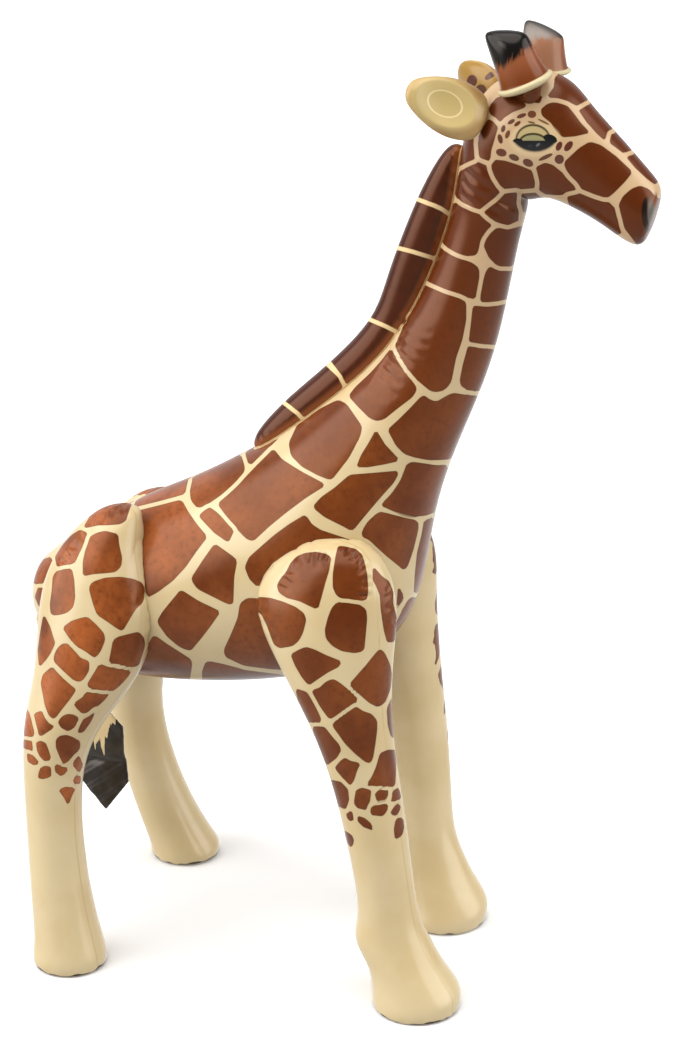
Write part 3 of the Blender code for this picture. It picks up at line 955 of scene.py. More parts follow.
def pucker_weld(piece: Piece, skin: BVHTree, pitch: float, depth: float, reach: float) -> None:
    """Draws a chamber's film together in puckers along its weld.

    Args:
        piece: The chamber before it is cut back.
        skin: The search tree of the chamber that it is welded on.
        pitch: The distance between puckers, in mm.
        depth: How deep they are at the weld, in mm.
        reach: How far they run from the weld, in mm.
    """
    points = corners_of(piece)
    normals = corners_of(piece, "normal")
    moved = np.zeros(len(points))
    middle = points.mean(axis=0)
    for number, point in enumerate(points):
        nearest, outwards, _, gap = skin.find_nearest(Vector(point), reach * 3 * MM)
        if nearest is None:
            continue
        if (Vector(point) - nearest).dot(outwards) < 0:
            gap = -gap
        if gap < -WELD_SINK:
            continue
        near = math.exp(-((max(gap, 0.0) / MM / reach) ** 2))
        turn = math.atan2(point[2] - middle[2], point[1] - middle[1])
        away = math.hypot(point[2] - middle[2], point[1] - middle[1])
        sway = noise.noise(Vector(point) * WELD_SWAY)
        phase = turn * min(away, WELD_MIDDLE) / MM / pitch * math.pi + sway * 2.0
        size = 0.55 + 0.45 * noise.noise(Vector(point) * WELD_UNEVEN + Vector((3.0, 1.0, 2.0))) * 2.0
        moved[number] = -depth * near * max(size, WELD_LEAST) * (1.0 - abs(math.sin(phase))) ** 2
    move_corners(piece, points + normals * (moved * MM)[:, None])


def add_node(tree: Tree, kind: str, inputs: dict | None = None, **settings: object) -> bpy.types.Node:
    """Adds one shader node with its settings and links.

    Args:
        tree: The material's node tree.
        kind: The node's type name, without its first word.
        inputs: For each socket name or number, a value or the output socket that feeds it.
        settings: Properties of the node.

    Returns:
        The new node.
    """
    node = tree.nodes.new("ShaderNode" + kind)
    for name, value in settings.items():
        setattr(node, name, value)
    for name, value in (inputs or {}).items():
        socket = node.inputs[name]
        if isinstance(value, Socket):
            tree.links.new(value, socket)
        else:
            socket.default_value = value
    return node


def fade(tree: Tree, value: Socket, span: Span, first: Colour,
         second: Colour, most: float = 1.0) -> Socket:
    """Fades one colour into another while a value runs through a span.

    Args:
        tree: The material's node tree.
        value: The socket that is read.
        span: The value at which the second colour sets in, and the one at which it is full.
        first: The first colour, as a hex string or a socket.
        second: The second colour, likewise.
        most: The second colour's share at the end of the span.

    Returns:
        The colour's socket.
    """
    share = add_node(tree, "MapRange", interpolation_type="SMOOTHSTEP",
                     inputs={"Value": value, "From Min": span[0], "From Max": span[1], "To Max": most})
    colours = [linear(colour) if isinstance(colour, str) else colour for colour in (first, second)]
    return add_node(tree, "Mix", data_type="RGBA",
                    inputs={0: share.outputs["Result"], 6: colours[0], 7: colours[1]}).outputs[2]


class Shape(Enum):
    """How a printed mark of the face is bounded."""

    WHOLE = "whole"
    LOWER = "lower"
    UPPER = "upper"


@dataclass(frozen=True)
class FaceMark:
    """One printed oval of the face, in the photograph's pixels, turned clockwise by degrees."""

    centre: Pixel
    half: Pixel
    turn: float
    colour: str
    shape: Shape = Shape.WHOLE
    line: float = 0.0
    soft: float = 0.12


def marks_of(*rows: tuple) -> tuple[FaceMark, ...]:
    """Makes printed marks from their middles, half sizes, turns and colours."""
    return tuple(FaceMark(*row) for row in rows)


FACE_MARKS = marks_of(
    ((535.0, 140.0), (25.0, 17.5), 0.0, "cdb187", Shape.WHOLE, 0.0, 0.25),
    ((521.5, 115.8), (5.0, 2.1), -20.0, "5e2c14"),
    ((531.9, 114.3), (4.3, 3.7), 0.0, "6a3a20"),
    ((511.3, 121.7), (4.0, 2.0), -32.0, "5a2c14"),
    ((517.4, 123.7), (3.9, 1.8), -38.0, "5e2c14"),
    ((503.2, 128.7), (2.1, 3.7), 15.0, "5a2c14"),
    ((507.6, 134.4), (2.2, 4.4), 22.0, "6a3a20"),
    ((500.2, 138.9), (2.5, 4.9), -15.0, "5a2c14"),
    ((501.3, 152.6), (5.4, 3.9), 15.0, "5e2c14"),
    ((514.0, 157.5), (5.4, 3.1), 22.0, "573010"),
    ((528.0, 162.8), (5.5, 3.7), 25.0, "5e2c14"),
    ((545.6, 157.1), (7.6, 2.0), -25.0, "5a3214"),
    ((559.0, 146.2), (2.9, 4.9), 25.0, "5a2610"),
    ((568.5, 146.2), (3.3, 5.9), 38.0, "5a2610"),
    ((559.3, 159.3), (4.7, 4.7), 30.0, "5a2810"),
    ((531.5, 122.4), (3.8, 1.0), 12.0, "6f4c2c"),
    ((543.5, 121.8), (6.4, 1.0), 27.0, "6f4c2c"),
    ((533.0, 139.5), (17.6, 15.6), 0.0, "3f3018", Shape.UPPER, 140.0),
    ((533.0, 139.9), (15.9, 13.8), 0.0, "b7a272", Shape.UPPER, 141.0),
    ((533.0, 141.8), (14.2, 9.0), 0.0, "3c331a", Shape.UPPER, 141.5),
    ((533.0, 142.8), (12.6, 7.8), 0.0, "968d62", Shape.UPPER, 142.0),
    ((535.0, 124.3), (27.6, 27.6), 0.0, "0b0908", Shape.LOWER, 140.6),
    ((550.3, 138.7), (7.0, 4.1), 18.0, "0b0908"),
    ((517.8, 140.6), (4.8, 2.2), 0.0, "0b0908"),
    # Grey and dark blue glints in the black of the eye: painted reflections.
    ((538.0, 144.8), (2.4, 1.3), -40.0, "5a5c62", Shape.WHOLE, 0.0, 0.6),
    ((530.0, 146.0), (2.6, 1.3), 0.0, "1d1c2c", Shape.WHOLE, 0.0, 0.6),
    ((659.0, 218.0), (8.0, 25.0), -3.0, "7a4329", Shape.WHOLE, 0.0, 0.35),
    ((648.0, 214.5), (6.4, 17.5), -3.0, "120e0c", Shape.WHOLE, 0.0, 0.2),
    # Grey inside the nostril: a painted highlight on the shiny muzzle end.
    ((651.5, 214.5), (4.0, 15.0), -3.0, "5f5b54", Shape.WHOLE, 0.0, 0.6),
)


EAR_MARKS = marks_of(
    ((472.0, 81.0), (5.2, 6.2), 10.0, "4c1f0b"),
    ((481.0, 90.0), (5.4, 5.6), 0.0, "4c2409"),
    ((490.4, 75.4), (6.6, 2.9), -36.0, "4c1f0b"),
)


@dataclass(frozen=True)
class Film:
    """Calendered PVC film, 0.2 mm thick, printed inside and blown up: smooth, glossy, never quite flat.

    The film's gloss gives sharp-edged but soft highlights, and the slow waves of its surface break them up.
    """

    name: str
    roughness: float = 0.24
    ior: float = 1.5
    sheen: str = "fff4ea"
    wave_scale: float = 22.0
    wave_height: float = 0.0012
    grain_scale: float = 1400.0
    grain_height: float = 0.00002
    wear_scale: float = 9.0
    wear: Span = (-0.05, 0.06)

    def make(self) -> bpy.types.Material:
        """Makes the material: the print under the film's gloss and relief.

        Returns:
            The finished material.
        """
        material = bpy.data.materials.new(self.name)
        material.use_nodes = True
        tree = material.node_tree
        tree.nodes.clear()
        place = add_node(tree, "TexCoord").outputs["Object"]
        wave = add_node(tree, "TexNoise",
                        inputs={"Vector": place, "Scale": self.wave_scale, "Detail": 2.0, "Roughness": 0.45})
        grain = add_node(tree, "TexNoise",
                         inputs={"Vector": place, "Scale": self.grain_scale, "Detail": 1.0})
        slow = add_node(tree, "Bump",
                        inputs={"Height": wave.outputs["Fac"], "Strength": 0.6, "Distance": self.wave_height})
        fine = add_node(tree, "Bump",
                        inputs={"Height": grain.outputs["Fac"], "Strength": 0.4,
                                "Distance": self.grain_height, "Normal": slow.outputs["Normal"]})
        worn = add_node(tree, "TexNoise",
                        inputs={"Vector": place, "Scale": self.wear_scale, "Detail": 3.0})
        gloss = add_node(tree, "MapRange",
                         inputs={"Value": worn.outputs["Fac"], "To Min": self.roughness + self.wear[0],
                                 "To Max": self.roughness + self.wear[1]})
        shader = add_node(tree, "BsdfPrincipled",
                          inputs={"Base Color": self.paint(tree, place), "IOR": self.ior,
                                  "Roughness": gloss.outputs["Result"], "Specular Tint": self.tint(tree),
                                  "Normal": fine.outputs["Normal"]})
        add_node(tree, "OutputMaterial", inputs={"Surface": shader.outputs["BSDF"]})
        return material

    def tint(self, tree: Tree) -> tuple[float, ...] | Socket:
        """Gives the tint of the gloss, the same over the whole film."""
        return linear(self.sheen)

    def hair(self, tree: Tree, place: Socket, scale: Triple,
             length: float, height: Socket) -> Socket:
        """Makes a height uneven in narrow strokes, for an edge that is printed as hair.

        Args:
            tree: The material's node tree.
            place: The object coordinates.
            scale: How narrow the strokes are along x, y and z.
            length: How far the longest stroke moves the height.
            height: The even height.

        Returns:
            The uneven height.
        """
        stretched = add_node(tree, "Mapping", inputs={"Vector": place, "Scale": scale})
        strokes = add_node(tree, "TexNoise",
                           inputs={"Vector": stretched.outputs[0], "Scale": 1.0, "Detail": 2.0})
        return add_node(tree, "Math", operation="MULTIPLY_ADD",
                        inputs={0: strokes.outputs["Fac"], 1: length, 2: height}).outputs[0]


@dataclass(frozen=True)
class CoatFilm(Film):
    """Film with the printed coat: brown patches with a darker rim on cream, and a fine print mottle."""

    name: str = "Printed PVC film, coat"
    cream: str = "ccb88f"
    cream_shade: str = "c4ad80"
    cream_head: str = "c2a27b"
    brown: str = "7c4019"
    brown_shade: str = "5c2808"
    # Lighter, warmer brown towards the rear: partly the print's own tone, partly a painted highlight on the
    # rump and thighs.
    brown_rear_highlight: str = "a85b2c"
    brown_head: str = "552306"
    rim: str = "4e210a"
    gloss: str = "ffceb0"
    seam: str = "b39a68"
    # Dark band at the foot's bottom edge: partly the sole's own dark edge, partly a painted contact shadow.
    sole: str = "3a2614"
    edge: Span = (-0.35, 0.35)
    rim_span: Span = (0.0, 0.9)
    head_span: Span = (0.48, 0.72)
    rear_highlight_span: Span = (0.02, 0.25)
    cloud_scale: float = 14.0
    cream_span: Span = (0.35, 0.7)
    shade_span: Span = (0.3, 0.72)
    mottle_scale: float = 160.0
    mottle_span: Span = (0.4, 1.0)
    seam_span: Span = (1.5, 0.2)
    seam_share: float = 0.55
    sole_shadow_span: Span = (-0.0009, -0.0015)
    sole_shadow_scallop: float = -0.008
    scallop_scale: float = 75.0
    face: bool = False

    def paint(self, tree: Tree, place: Socket) -> Socket:
        """Prints the coat, and the face, or the seams with the dark foot band, which is partly a painted
        contact shadow.

        Args:
            tree: The material's node tree.
            place: The object coordinates.

        Returns:
            The printed colour.
        """
        printed = add_node(tree, "Attribute", attribute_name="print_depth").outputs["Fac"]
        parts = add_node(tree, "SeparateXYZ", inputs={"Vector": place})
        broad = add_node(tree, "TexNoise",
                         inputs={"Vector": place, "Scale": self.cloud_scale, "Detail": 3.0}).outputs["Fac"]
        mottle = add_node(tree, "TexNoise",
                          inputs={"Vector": place, "Scale": self.mottle_scale, "Detail": 4.0,
                                  "Roughness": 0.6})
        cream = fade(tree, broad, self.cream_span, self.cream, self.cream_shade)
        cream = fade(tree, parts.outputs["Z"], self.head_span, cream, self.cream_head)
        brown = fade(tree, parts.outputs["Z"], self.head_span, self.brown, self.brown_head)
        # Towards the rear the brown turns lighter: partly print tone, partly a painted highlight.
        brown = fade(tree, parts.outputs["Y"], self.rear_highlight_span, brown, self.brown_rear_highlight)
        brown = fade(tree, broad, self.shade_span, brown, self.brown_shade)
        brown = fade(tree, mottle.outputs["Fac"], self.mottle_span, brown, self.rim)
        patch = fade(tree, printed, self.rim_span, self.rim, brown)
        if self.face:
            return print_marks(tree, place, fade(tree, printed, self.edge, cream, patch), FACE_MARKS, -1.0)
        return fade(tree, printed, self.edge, self.add_seams_and_foot_shadow(tree, place, cream), patch)

    def tint(self, tree: Tree) -> tuple[float, ...] | Socket:
        """Gives the gloss of the brown print a warmer tint than the cream's."""
        printed = add_node(tree, "Attribute", attribute_name="print_depth").outputs["Fac"]
        return fade(tree, printed, self.edge, "ffffff", self.gloss)

    def add_seams_and_foot_shadow(self, tree: Tree, place: Socket,
                  cream: Socket) -> Socket:
        """Darkens the film along a leg's weld seams, and paints a dark ragged band along the foot's bottom
        edge: partly the sole's dark edge, partly a painted contact shadow.

        Args:
            tree: The material's node tree.
            place: The object coordinates.
            cream: The cream's colour.

        Returns:
            The colour with the seams.
        """
        away = add_node(tree, "Attribute", attribute_name="seam_gap").outputs["Fac"]
        seamed = fade(tree, away, self.seam_span, cream, self.seam, self.seam_share)
        # Below a ragged height just over the floor the film turns dark: painted contact shadow, with the
        # sole's dark edge.
        ragged = add_node(tree, "TexNoise",
                          inputs={"Vector": place, "Scale": self.scallop_scale, "Detail": 1.0})
        rise = add_node(tree, "SeparateXYZ", inputs={"Vector": place}).outputs["Z"]
        edge = add_node(tree, "Math", operation="MULTIPLY_ADD",
                        inputs={0: ragged.outputs["Fac"], 1: self.sole_shadow_scallop, 2: rise})
        return fade(tree, edge.outputs[0], self.sole_shadow_span, seamed, self.sole)


def print_marks(tree: Tree, place: Socket, colour: Colour,
                marks: tuple[FaceMark, ...], side: float) -> Socket:
    """Prints marks, the same on both of the animal's sides, over a colour.

    Args:
        tree: The material's node tree.
        place: The object coordinates.
        colour: The colour under the marks.
        marks: The marks.
        side: The sign of x on the side on which the marks were measured.

    Returns:
        The colour with the marks.
    """
    right, up, back = PHOTO.axes()
    parts = add_node(tree, "SeparateXYZ", inputs={"Vector": place})
    out = add_node(tree, "Math", operation="ABSOLUTE", inputs={0: parts.outputs["X"]}).outputs[0]
    near = add_node(tree, "Math", operation="MULTIPLY", inputs={0: out, 1: side})
    folded = add_node(tree, "CombineXYZ",
                      inputs={"X": near.outputs[0], "Y": parts.outputs["Y"], "Z": parts.outputs["Z"]})
    offset = add_node(tree, "VectorMath", operation="SUBTRACT",
                      inputs={0: folded.outputs[0], 1: tuple(PHOTO.place())})
    runs = [add_node(tree, "VectorMath", operation="DOT_PRODUCT",
                     inputs={0: offset.outputs[0], 1: tuple(way)}).outputs["Value"]
            for way in (right * PHOTO.focal_pixels, up * PHOTO.focal_pixels, -back)]
    level, rise = (add_node(tree, "Math", operation="DIVIDE",
                            inputs={0: run, 1: runs[2]}).outputs[0] for run in runs[:2])
    flat = add_node(tree, "CombineXYZ", inputs={"X": level, "Y": rise, "Z": 0.0})
    marked = colour
    for mark in marks:
        centre = (mark.centre[0] - PHOTO_WIDTH / 2, PHOTO_HEIGHT / 2 - mark.centre[1], 0.0)
        moved = add_node(tree, "Mapping", vector_type="TEXTURE",
                         inputs={"Vector": flat.outputs[0], "Location": centre,
                                 "Rotation": (0.0, 0.0, math.radians(-mark.turn)),
                                 "Scale": (mark.half[0], mark.half[1], 1.0)})
        away = add_node(tree, "VectorMath", operation="LENGTH", inputs={0: moved.outputs[0]})
        inked = mark.colour
        if mark.shape is not Shape.WHOLE:
            line = PHOTO_HEIGHT / 2 - mark.line
            half = 0.5 if mark.shape is Shape.UPPER else -0.5
            inked = fade(tree, rise, (line - half, line + half), marked, inked)
        oval = (1.0 + mark.soft / 2, 1.0 - mark.soft / 2)
        marked = fade(tree, away.outputs["Value"], oval, marked, inked)
    return fade(tree, out, MUZZLE_MIDDLE, colour, marked)


@dataclass(frozen=True)
class SoleFilm(Film):
    """Embossed tan film, duller than the printed one, with the slow shading of an unprinted sheet."""

    name: str = "Embossed PVC film, soles"
    roughness: float = 0.45
    colour: str = "a08a5e"
    shade: str = "8c7850"
    cloud_scale: float = 30.0
    shade_span: Span = (0.35, 0.7)

    def paint(self, tree: Tree, place: Socket) -> Socket:
        """Gives the sheet its colour.

        Args:
            tree: The material's node tree.
            place: The object coordinates.

        Returns:
            The sheet's colour.
        """
        broad = add_node(tree, "TexNoise",
                         inputs={"Vector": place, "Scale": self.cloud_scale, "Detail": 3.0})
        return fade(tree, broad.outputs["Fac"], self.shade_span, self.colour, self.shade)


@dataclass(frozen=True)
class ManeFilm(Film):
    """Dark brown film with cream cross bands, lighter brown along its weld."""

    name: str = "Printed PVC film, mane"
    sheen: str = "ffc19c"
    dark: str = "401606"
    darker: str = "2c0e04"
    weld: str = "7c421f"
    band: str = "d8bd8c"
    strand_scale: float = 90.0
    strand_span: Span = (0.3, 1.1)
    weld_span: Span = (9.0, 3.0)
    edge: Span = (-0.4, 0.4)

    def paint(self, tree: Tree, place: Socket) -> Socket:
        """Prints the bands.

        Args:
            tree: The material's node tree.
            place: The object coordinates.

        Returns:
            The printed colour.
        """
        printed, lift = (add_node(tree, "Attribute", attribute_name=name).outputs["Fac"]
                         for name in ("print_depth", "weld_gap"))
        strands = add_node(tree, "TexNoise",
                           inputs={"Vector": place, "Scale": self.strand_scale, "Detail": 3.0})
        brown = fade(tree, strands.outputs["Fac"], self.strand_span, self.dark, self.darker)
        brown = fade(tree, lift, self.weld_span, brown, self.weld)
        return fade(tree, printed, self.edge, self.band, brown)


@dataclass(frozen=True)
class HornFilm(Film):
    """Brown film whose black tip runs out in printed hair strokes, over a cream collar."""

    name: str = "Printed PVC film, horn"
    roughness: float = 0.18
    ior: float = 1.36
    brown: str = "6e3513"
    pale: str = "8a4f30"
    black: str = "0e0d0c"
    inner: str = "976a50"
    # Grey of the tip on the horn's inner side, in place of the black: painted glare.
    inner_tip_glare: str = "8a8078"
    weld: str = "5c2a0c"
    collar: str = "c3b68e"
    weld_span: Span = (0.2, 0.9)
    collar_span: Span = (7.2, 8.2)
    pale_span: Span = (6.0, 30.0)
    inner_span: Span = (0.0, 0.7)
    hair_span: Span = (37.0, 46.0)
    hair_scale: Triple = (480.0, 480.0, 40.0)
    hair_length: float = 18.0

    def paint(self, tree: Tree, place: Socket) -> Socket:
        """Prints the collar, the shaft and the black tip.

        Args:
            tree: The material's node tree.
            place: The object coordinates.

        Returns:
            The printed colour.
        """
        rise, tip_rise, inner = (add_node(tree, "Attribute", attribute_name=name).outputs["Fac"]
                                 for name in ("rise", "tip_rise", "inner"))
        ragged = self.hair(tree, place, self.hair_scale, self.hair_length, tip_rise)
        brown = fade(tree, rise, self.pale_span, self.brown, self.pale)
        brown = fade(tree, inner, self.inner_span, brown, self.inner)
        # On the inner side the black tip turns grey: painted glare.
        black = fade(tree, inner, self.inner_span, self.black, self.inner_tip_glare)
        shaft = fade(tree, ragged, self.hair_span, brown, black)
        ring = fade(tree, rise, self.weld_span, self.weld, self.collar)
        return fade(tree, rise, self.collar_span, ring, shaft)


@dataclass(frozen=True)
class EarFilm(Film):
    """Cream film with a tan rim and the printed oval of the inner ear."""

    name: str = "Printed PVC film, ear"
    cream: str = "c2aa72"
    tan: str = "a98652"
    inner: str = "bba46b"
    line: str = "dbc492"
    back: str = "96722f"
    cloud_scale: float = 40.0
    rim_span: Span = (1.6, 2.3)
    shade_span: Span = (0.4, 0.8)
    line_span: Span = (1.07, 1.0)
    inner_span: Span = (0.95, 0.9)

    def paint(self, tree: Tree, place: Socket) -> Socket:
        """Prints the ear's front and the spots on its back.

        Args:
            tree: The material's node tree.
            place: The object coordinates.

        Returns:
            The printed colour.
        """
        oval, rear = (add_node(tree, "Attribute", attribute_name=name).outputs["Fac"]
                      for name in ("oval", "rear"))
        broad = add_node(tree, "TexNoise",
                         inputs={"Vector": place, "Scale": self.cloud_scale, "Detail": 2.0})
        leaf = fade(tree, oval, self.rim_span, self.cream, self.tan)
        leaf = fade(tree, broad.outputs["Fac"], self.shade_span, leaf, self.inner)
        leaf = fade(tree, oval, self.line_span, leaf, self.line)
        front = fade(tree, oval, self.inner_span, leaf, self.inner)
        spotted = print_marks(tree, place, self.back, EAR_MARKS, 1.0)
        return add_node(tree, "Mix", data_type="RGBA", inputs={0: rear, 6: front, 7: spotted}).outputs[2]


@dataclass(frozen=True)
class TuftFilm(Film):
    """Black film of the tail's tuft, its upper edge printed as hair strokes on cream."""

    name: str = "Printed PVC film, tuft"
    black: str = "24211e"
    black_shade: str = "38342f"
    cream: str = "dcc494"
    cloud_scale: float = 60.0
    shade_span: Span = (0.4, 0.75)
    hair_span: Span = (0.1615, 0.1625)
    hair_scale: Triple = (0.0, 170.0, 14.0)
    hair_length: float = -0.09
    fringe_span: Span = (0.208, 0.228)
    fringe_drop: float = 0.027

    def paint(self, tree: Tree, place: Socket) -> Socket:
        """Prints the tuft, whose hair ends lower towards its front.

        Args:
            tree: The material's node tree.
            place: The object coordinates.

        Returns:
            The printed colour.
        """
        parts = add_node(tree, "SeparateXYZ", inputs={"Vector": place})
        fringe = add_node(tree, "MapRange", interpolation_type="SMOOTHSTEP",
                          inputs={"Value": parts.outputs["Y"], "From Min": self.fringe_span[0],
                                  "From Max": self.fringe_span[1], "To Max": self.fringe_drop})
        height = add_node(tree, "Math", operation="ADD",
                          inputs={0: fringe.outputs["Result"], 1: parts.outputs["Z"]})
        ragged = self.hair(tree, place, self.hair_scale, self.hair_length, height.outputs[0])
        broad = add_node(tree, "TexNoise",
                         inputs={"Vector": place, "Scale": self.cloud_scale, "Detail": 3.0})
        black = fade(tree, broad.outputs["Fac"], self.shade_span, self.black, self.black_shade)
        return fade(tree, ragged, self.hair_span, black, self.cream)


@dataclass
class Torso:
    """The trunk, neck and head, one chamber that all the others are welded on."""

    levels: int = 3
    cutter_levels: int = 2
    mane_line: float = 1.9
    creases: tuple[Crease, ...] = (
        Crease((404, 322), (433, 335), 2.2, 3.0),
        Crease((400, 331), (430, 347), 2.5, 3.0),
        Crease((398, 341), (427, 359), 2.5, 3.0),
        Crease((399, 351), (425, 371), 2.0, 3.0),
        Crease((387, 359), (404, 374), 1.9, 3.0),
        Crease((382, 368), (402, 387), 2.3, 3.0),
        Crease((378, 377), (397, 398), 2.2, 3.0),
        Crease((374, 386), (390, 403), 1.7, 3.0),
        Crease((467, 172), (493, 190), 1.9, 3.2),
        Crease((464, 181), (490, 203), 2.1, 3.2),
        Crease((462, 193), (480, 208), 1.7, 3.2),
        Crease((482, 166), (498, 181), 1.5, 3.0),
        Crease((496, 198), (520, 212), 1.8, 3.2),
        Crease((488, 207), (505, 217), 1.5, 3.0),
    )
    rows: tuple[PuckerRow, ...] = (
        PuckerRow(((430, 600), (424, 616), (415, 634), (405, 648)), (385, 605), 9, 12, 2.4, 1.9),
        PuckerRow(((204, 683), (225, 686), (248, 687)), (226, 640), 6, 9, 1.2, 2.4),
        PuckerRow(((92, 526), (108, 508), (131, 496)), (128, 570), 7, 9, 1.2, 2.0),
    )

    def build(self) -> tuple[Piece, Piece]:
        """Builds the chamber and the cutter for the chambers on it.

        Returns:
            The chamber and the cutter.
        """
        skin = cad_copy("body", "body_skin")
        cutter = skin.copy()
        cutter.data = skin.data.copy()
        cutter.name = "weld_cutter"
        bpy.context.scene.collection.objects.link(cutter)
        subdivide(cutter, self.cutter_levels)
        offset = cutter.modifiers.new("Contact gap", "DISPLACE")
        offset.strength = CONTACT_GAP
        offset.mid_level = 0.0
        apply_all(cutter)
        subdivide(skin, self.levels)
        skin.data.shade_smooth()
        press = list(self.creases)
        for row in self.rows:
            press += row.creases()
        press_creases(skin, press, True)
        return skin, cutter

    def dress(self, skin: Piece, mane: BVHTree) -> None:
        """Prints the coat and the face.

        Args:
            skin: The chamber.
            mane: The search tree of the mane.
        """
        printed = CoatPrint(BODY_PATCHES + NECK_PATCHES + HEAD_PATCHES + HIND_PATCHES, True)
        printed.lay(skin, mirrored_in)
        keep_clear(skin, mane, self.mane_line)
        finish_piece(skin, CoatFilm(face=True).make(), ["body"])


@dataclass(frozen=True)
class LegRing:
    """One level ring of a leg, in drawn mm."""

    height: float
    out: float
    back: float
    half_length: float
    half_width: float


@dataclass(frozen=True)
class LegPose:
    """How one leg stands, in drawn mm."""

    out: float
    back: float
    bend_top: float
    thigh_drop: float
    thigh_back: float


FRONT_RINGS = tuple(
    LegRing(*row)
    for row in (
        (449, 82, -26, 18, 14),
        (440, 84, -24, 38, 26),
        (416, 87, -16, 59, 34),
        (382, 90, -13, 67, 38),
        (338, 92, -21, 54, 39),
        (285, 94, -36, 38, 36),
        (235, 96, -49.5, 31, 31),
        (180, 97, -61, 29, 28),
        (120, 97, -70, 26.5, 26.5),
        (86, 97, -74, 28, 27.5),
        (64, 97, -76, 37, 30),
        (42, 97, -90, 34, 34),
        (20, 97, -99.5, 41.5, 39),
    )
)
HIND_RINGS = tuple(
    LegRing(*row)
    for row in (
        (446, 54, 188, 14, 12),
        (436, 58, 195, 25, 23),
        (410, 67, 206, 39, 33),
        (374, 77, 206, 55, 39),
        (330, 86, 207, 56, 40),
        (285, 93, 217, 48, 38),
        (243, 100, 239, 36, 34),
        (195, 106, 248, 27, 28),
        (135, 111, 246, 25.5, 26),
        (70, 115, 241, 28, 28.5),
        (25, 118, 234, 32, 32),
    )
)


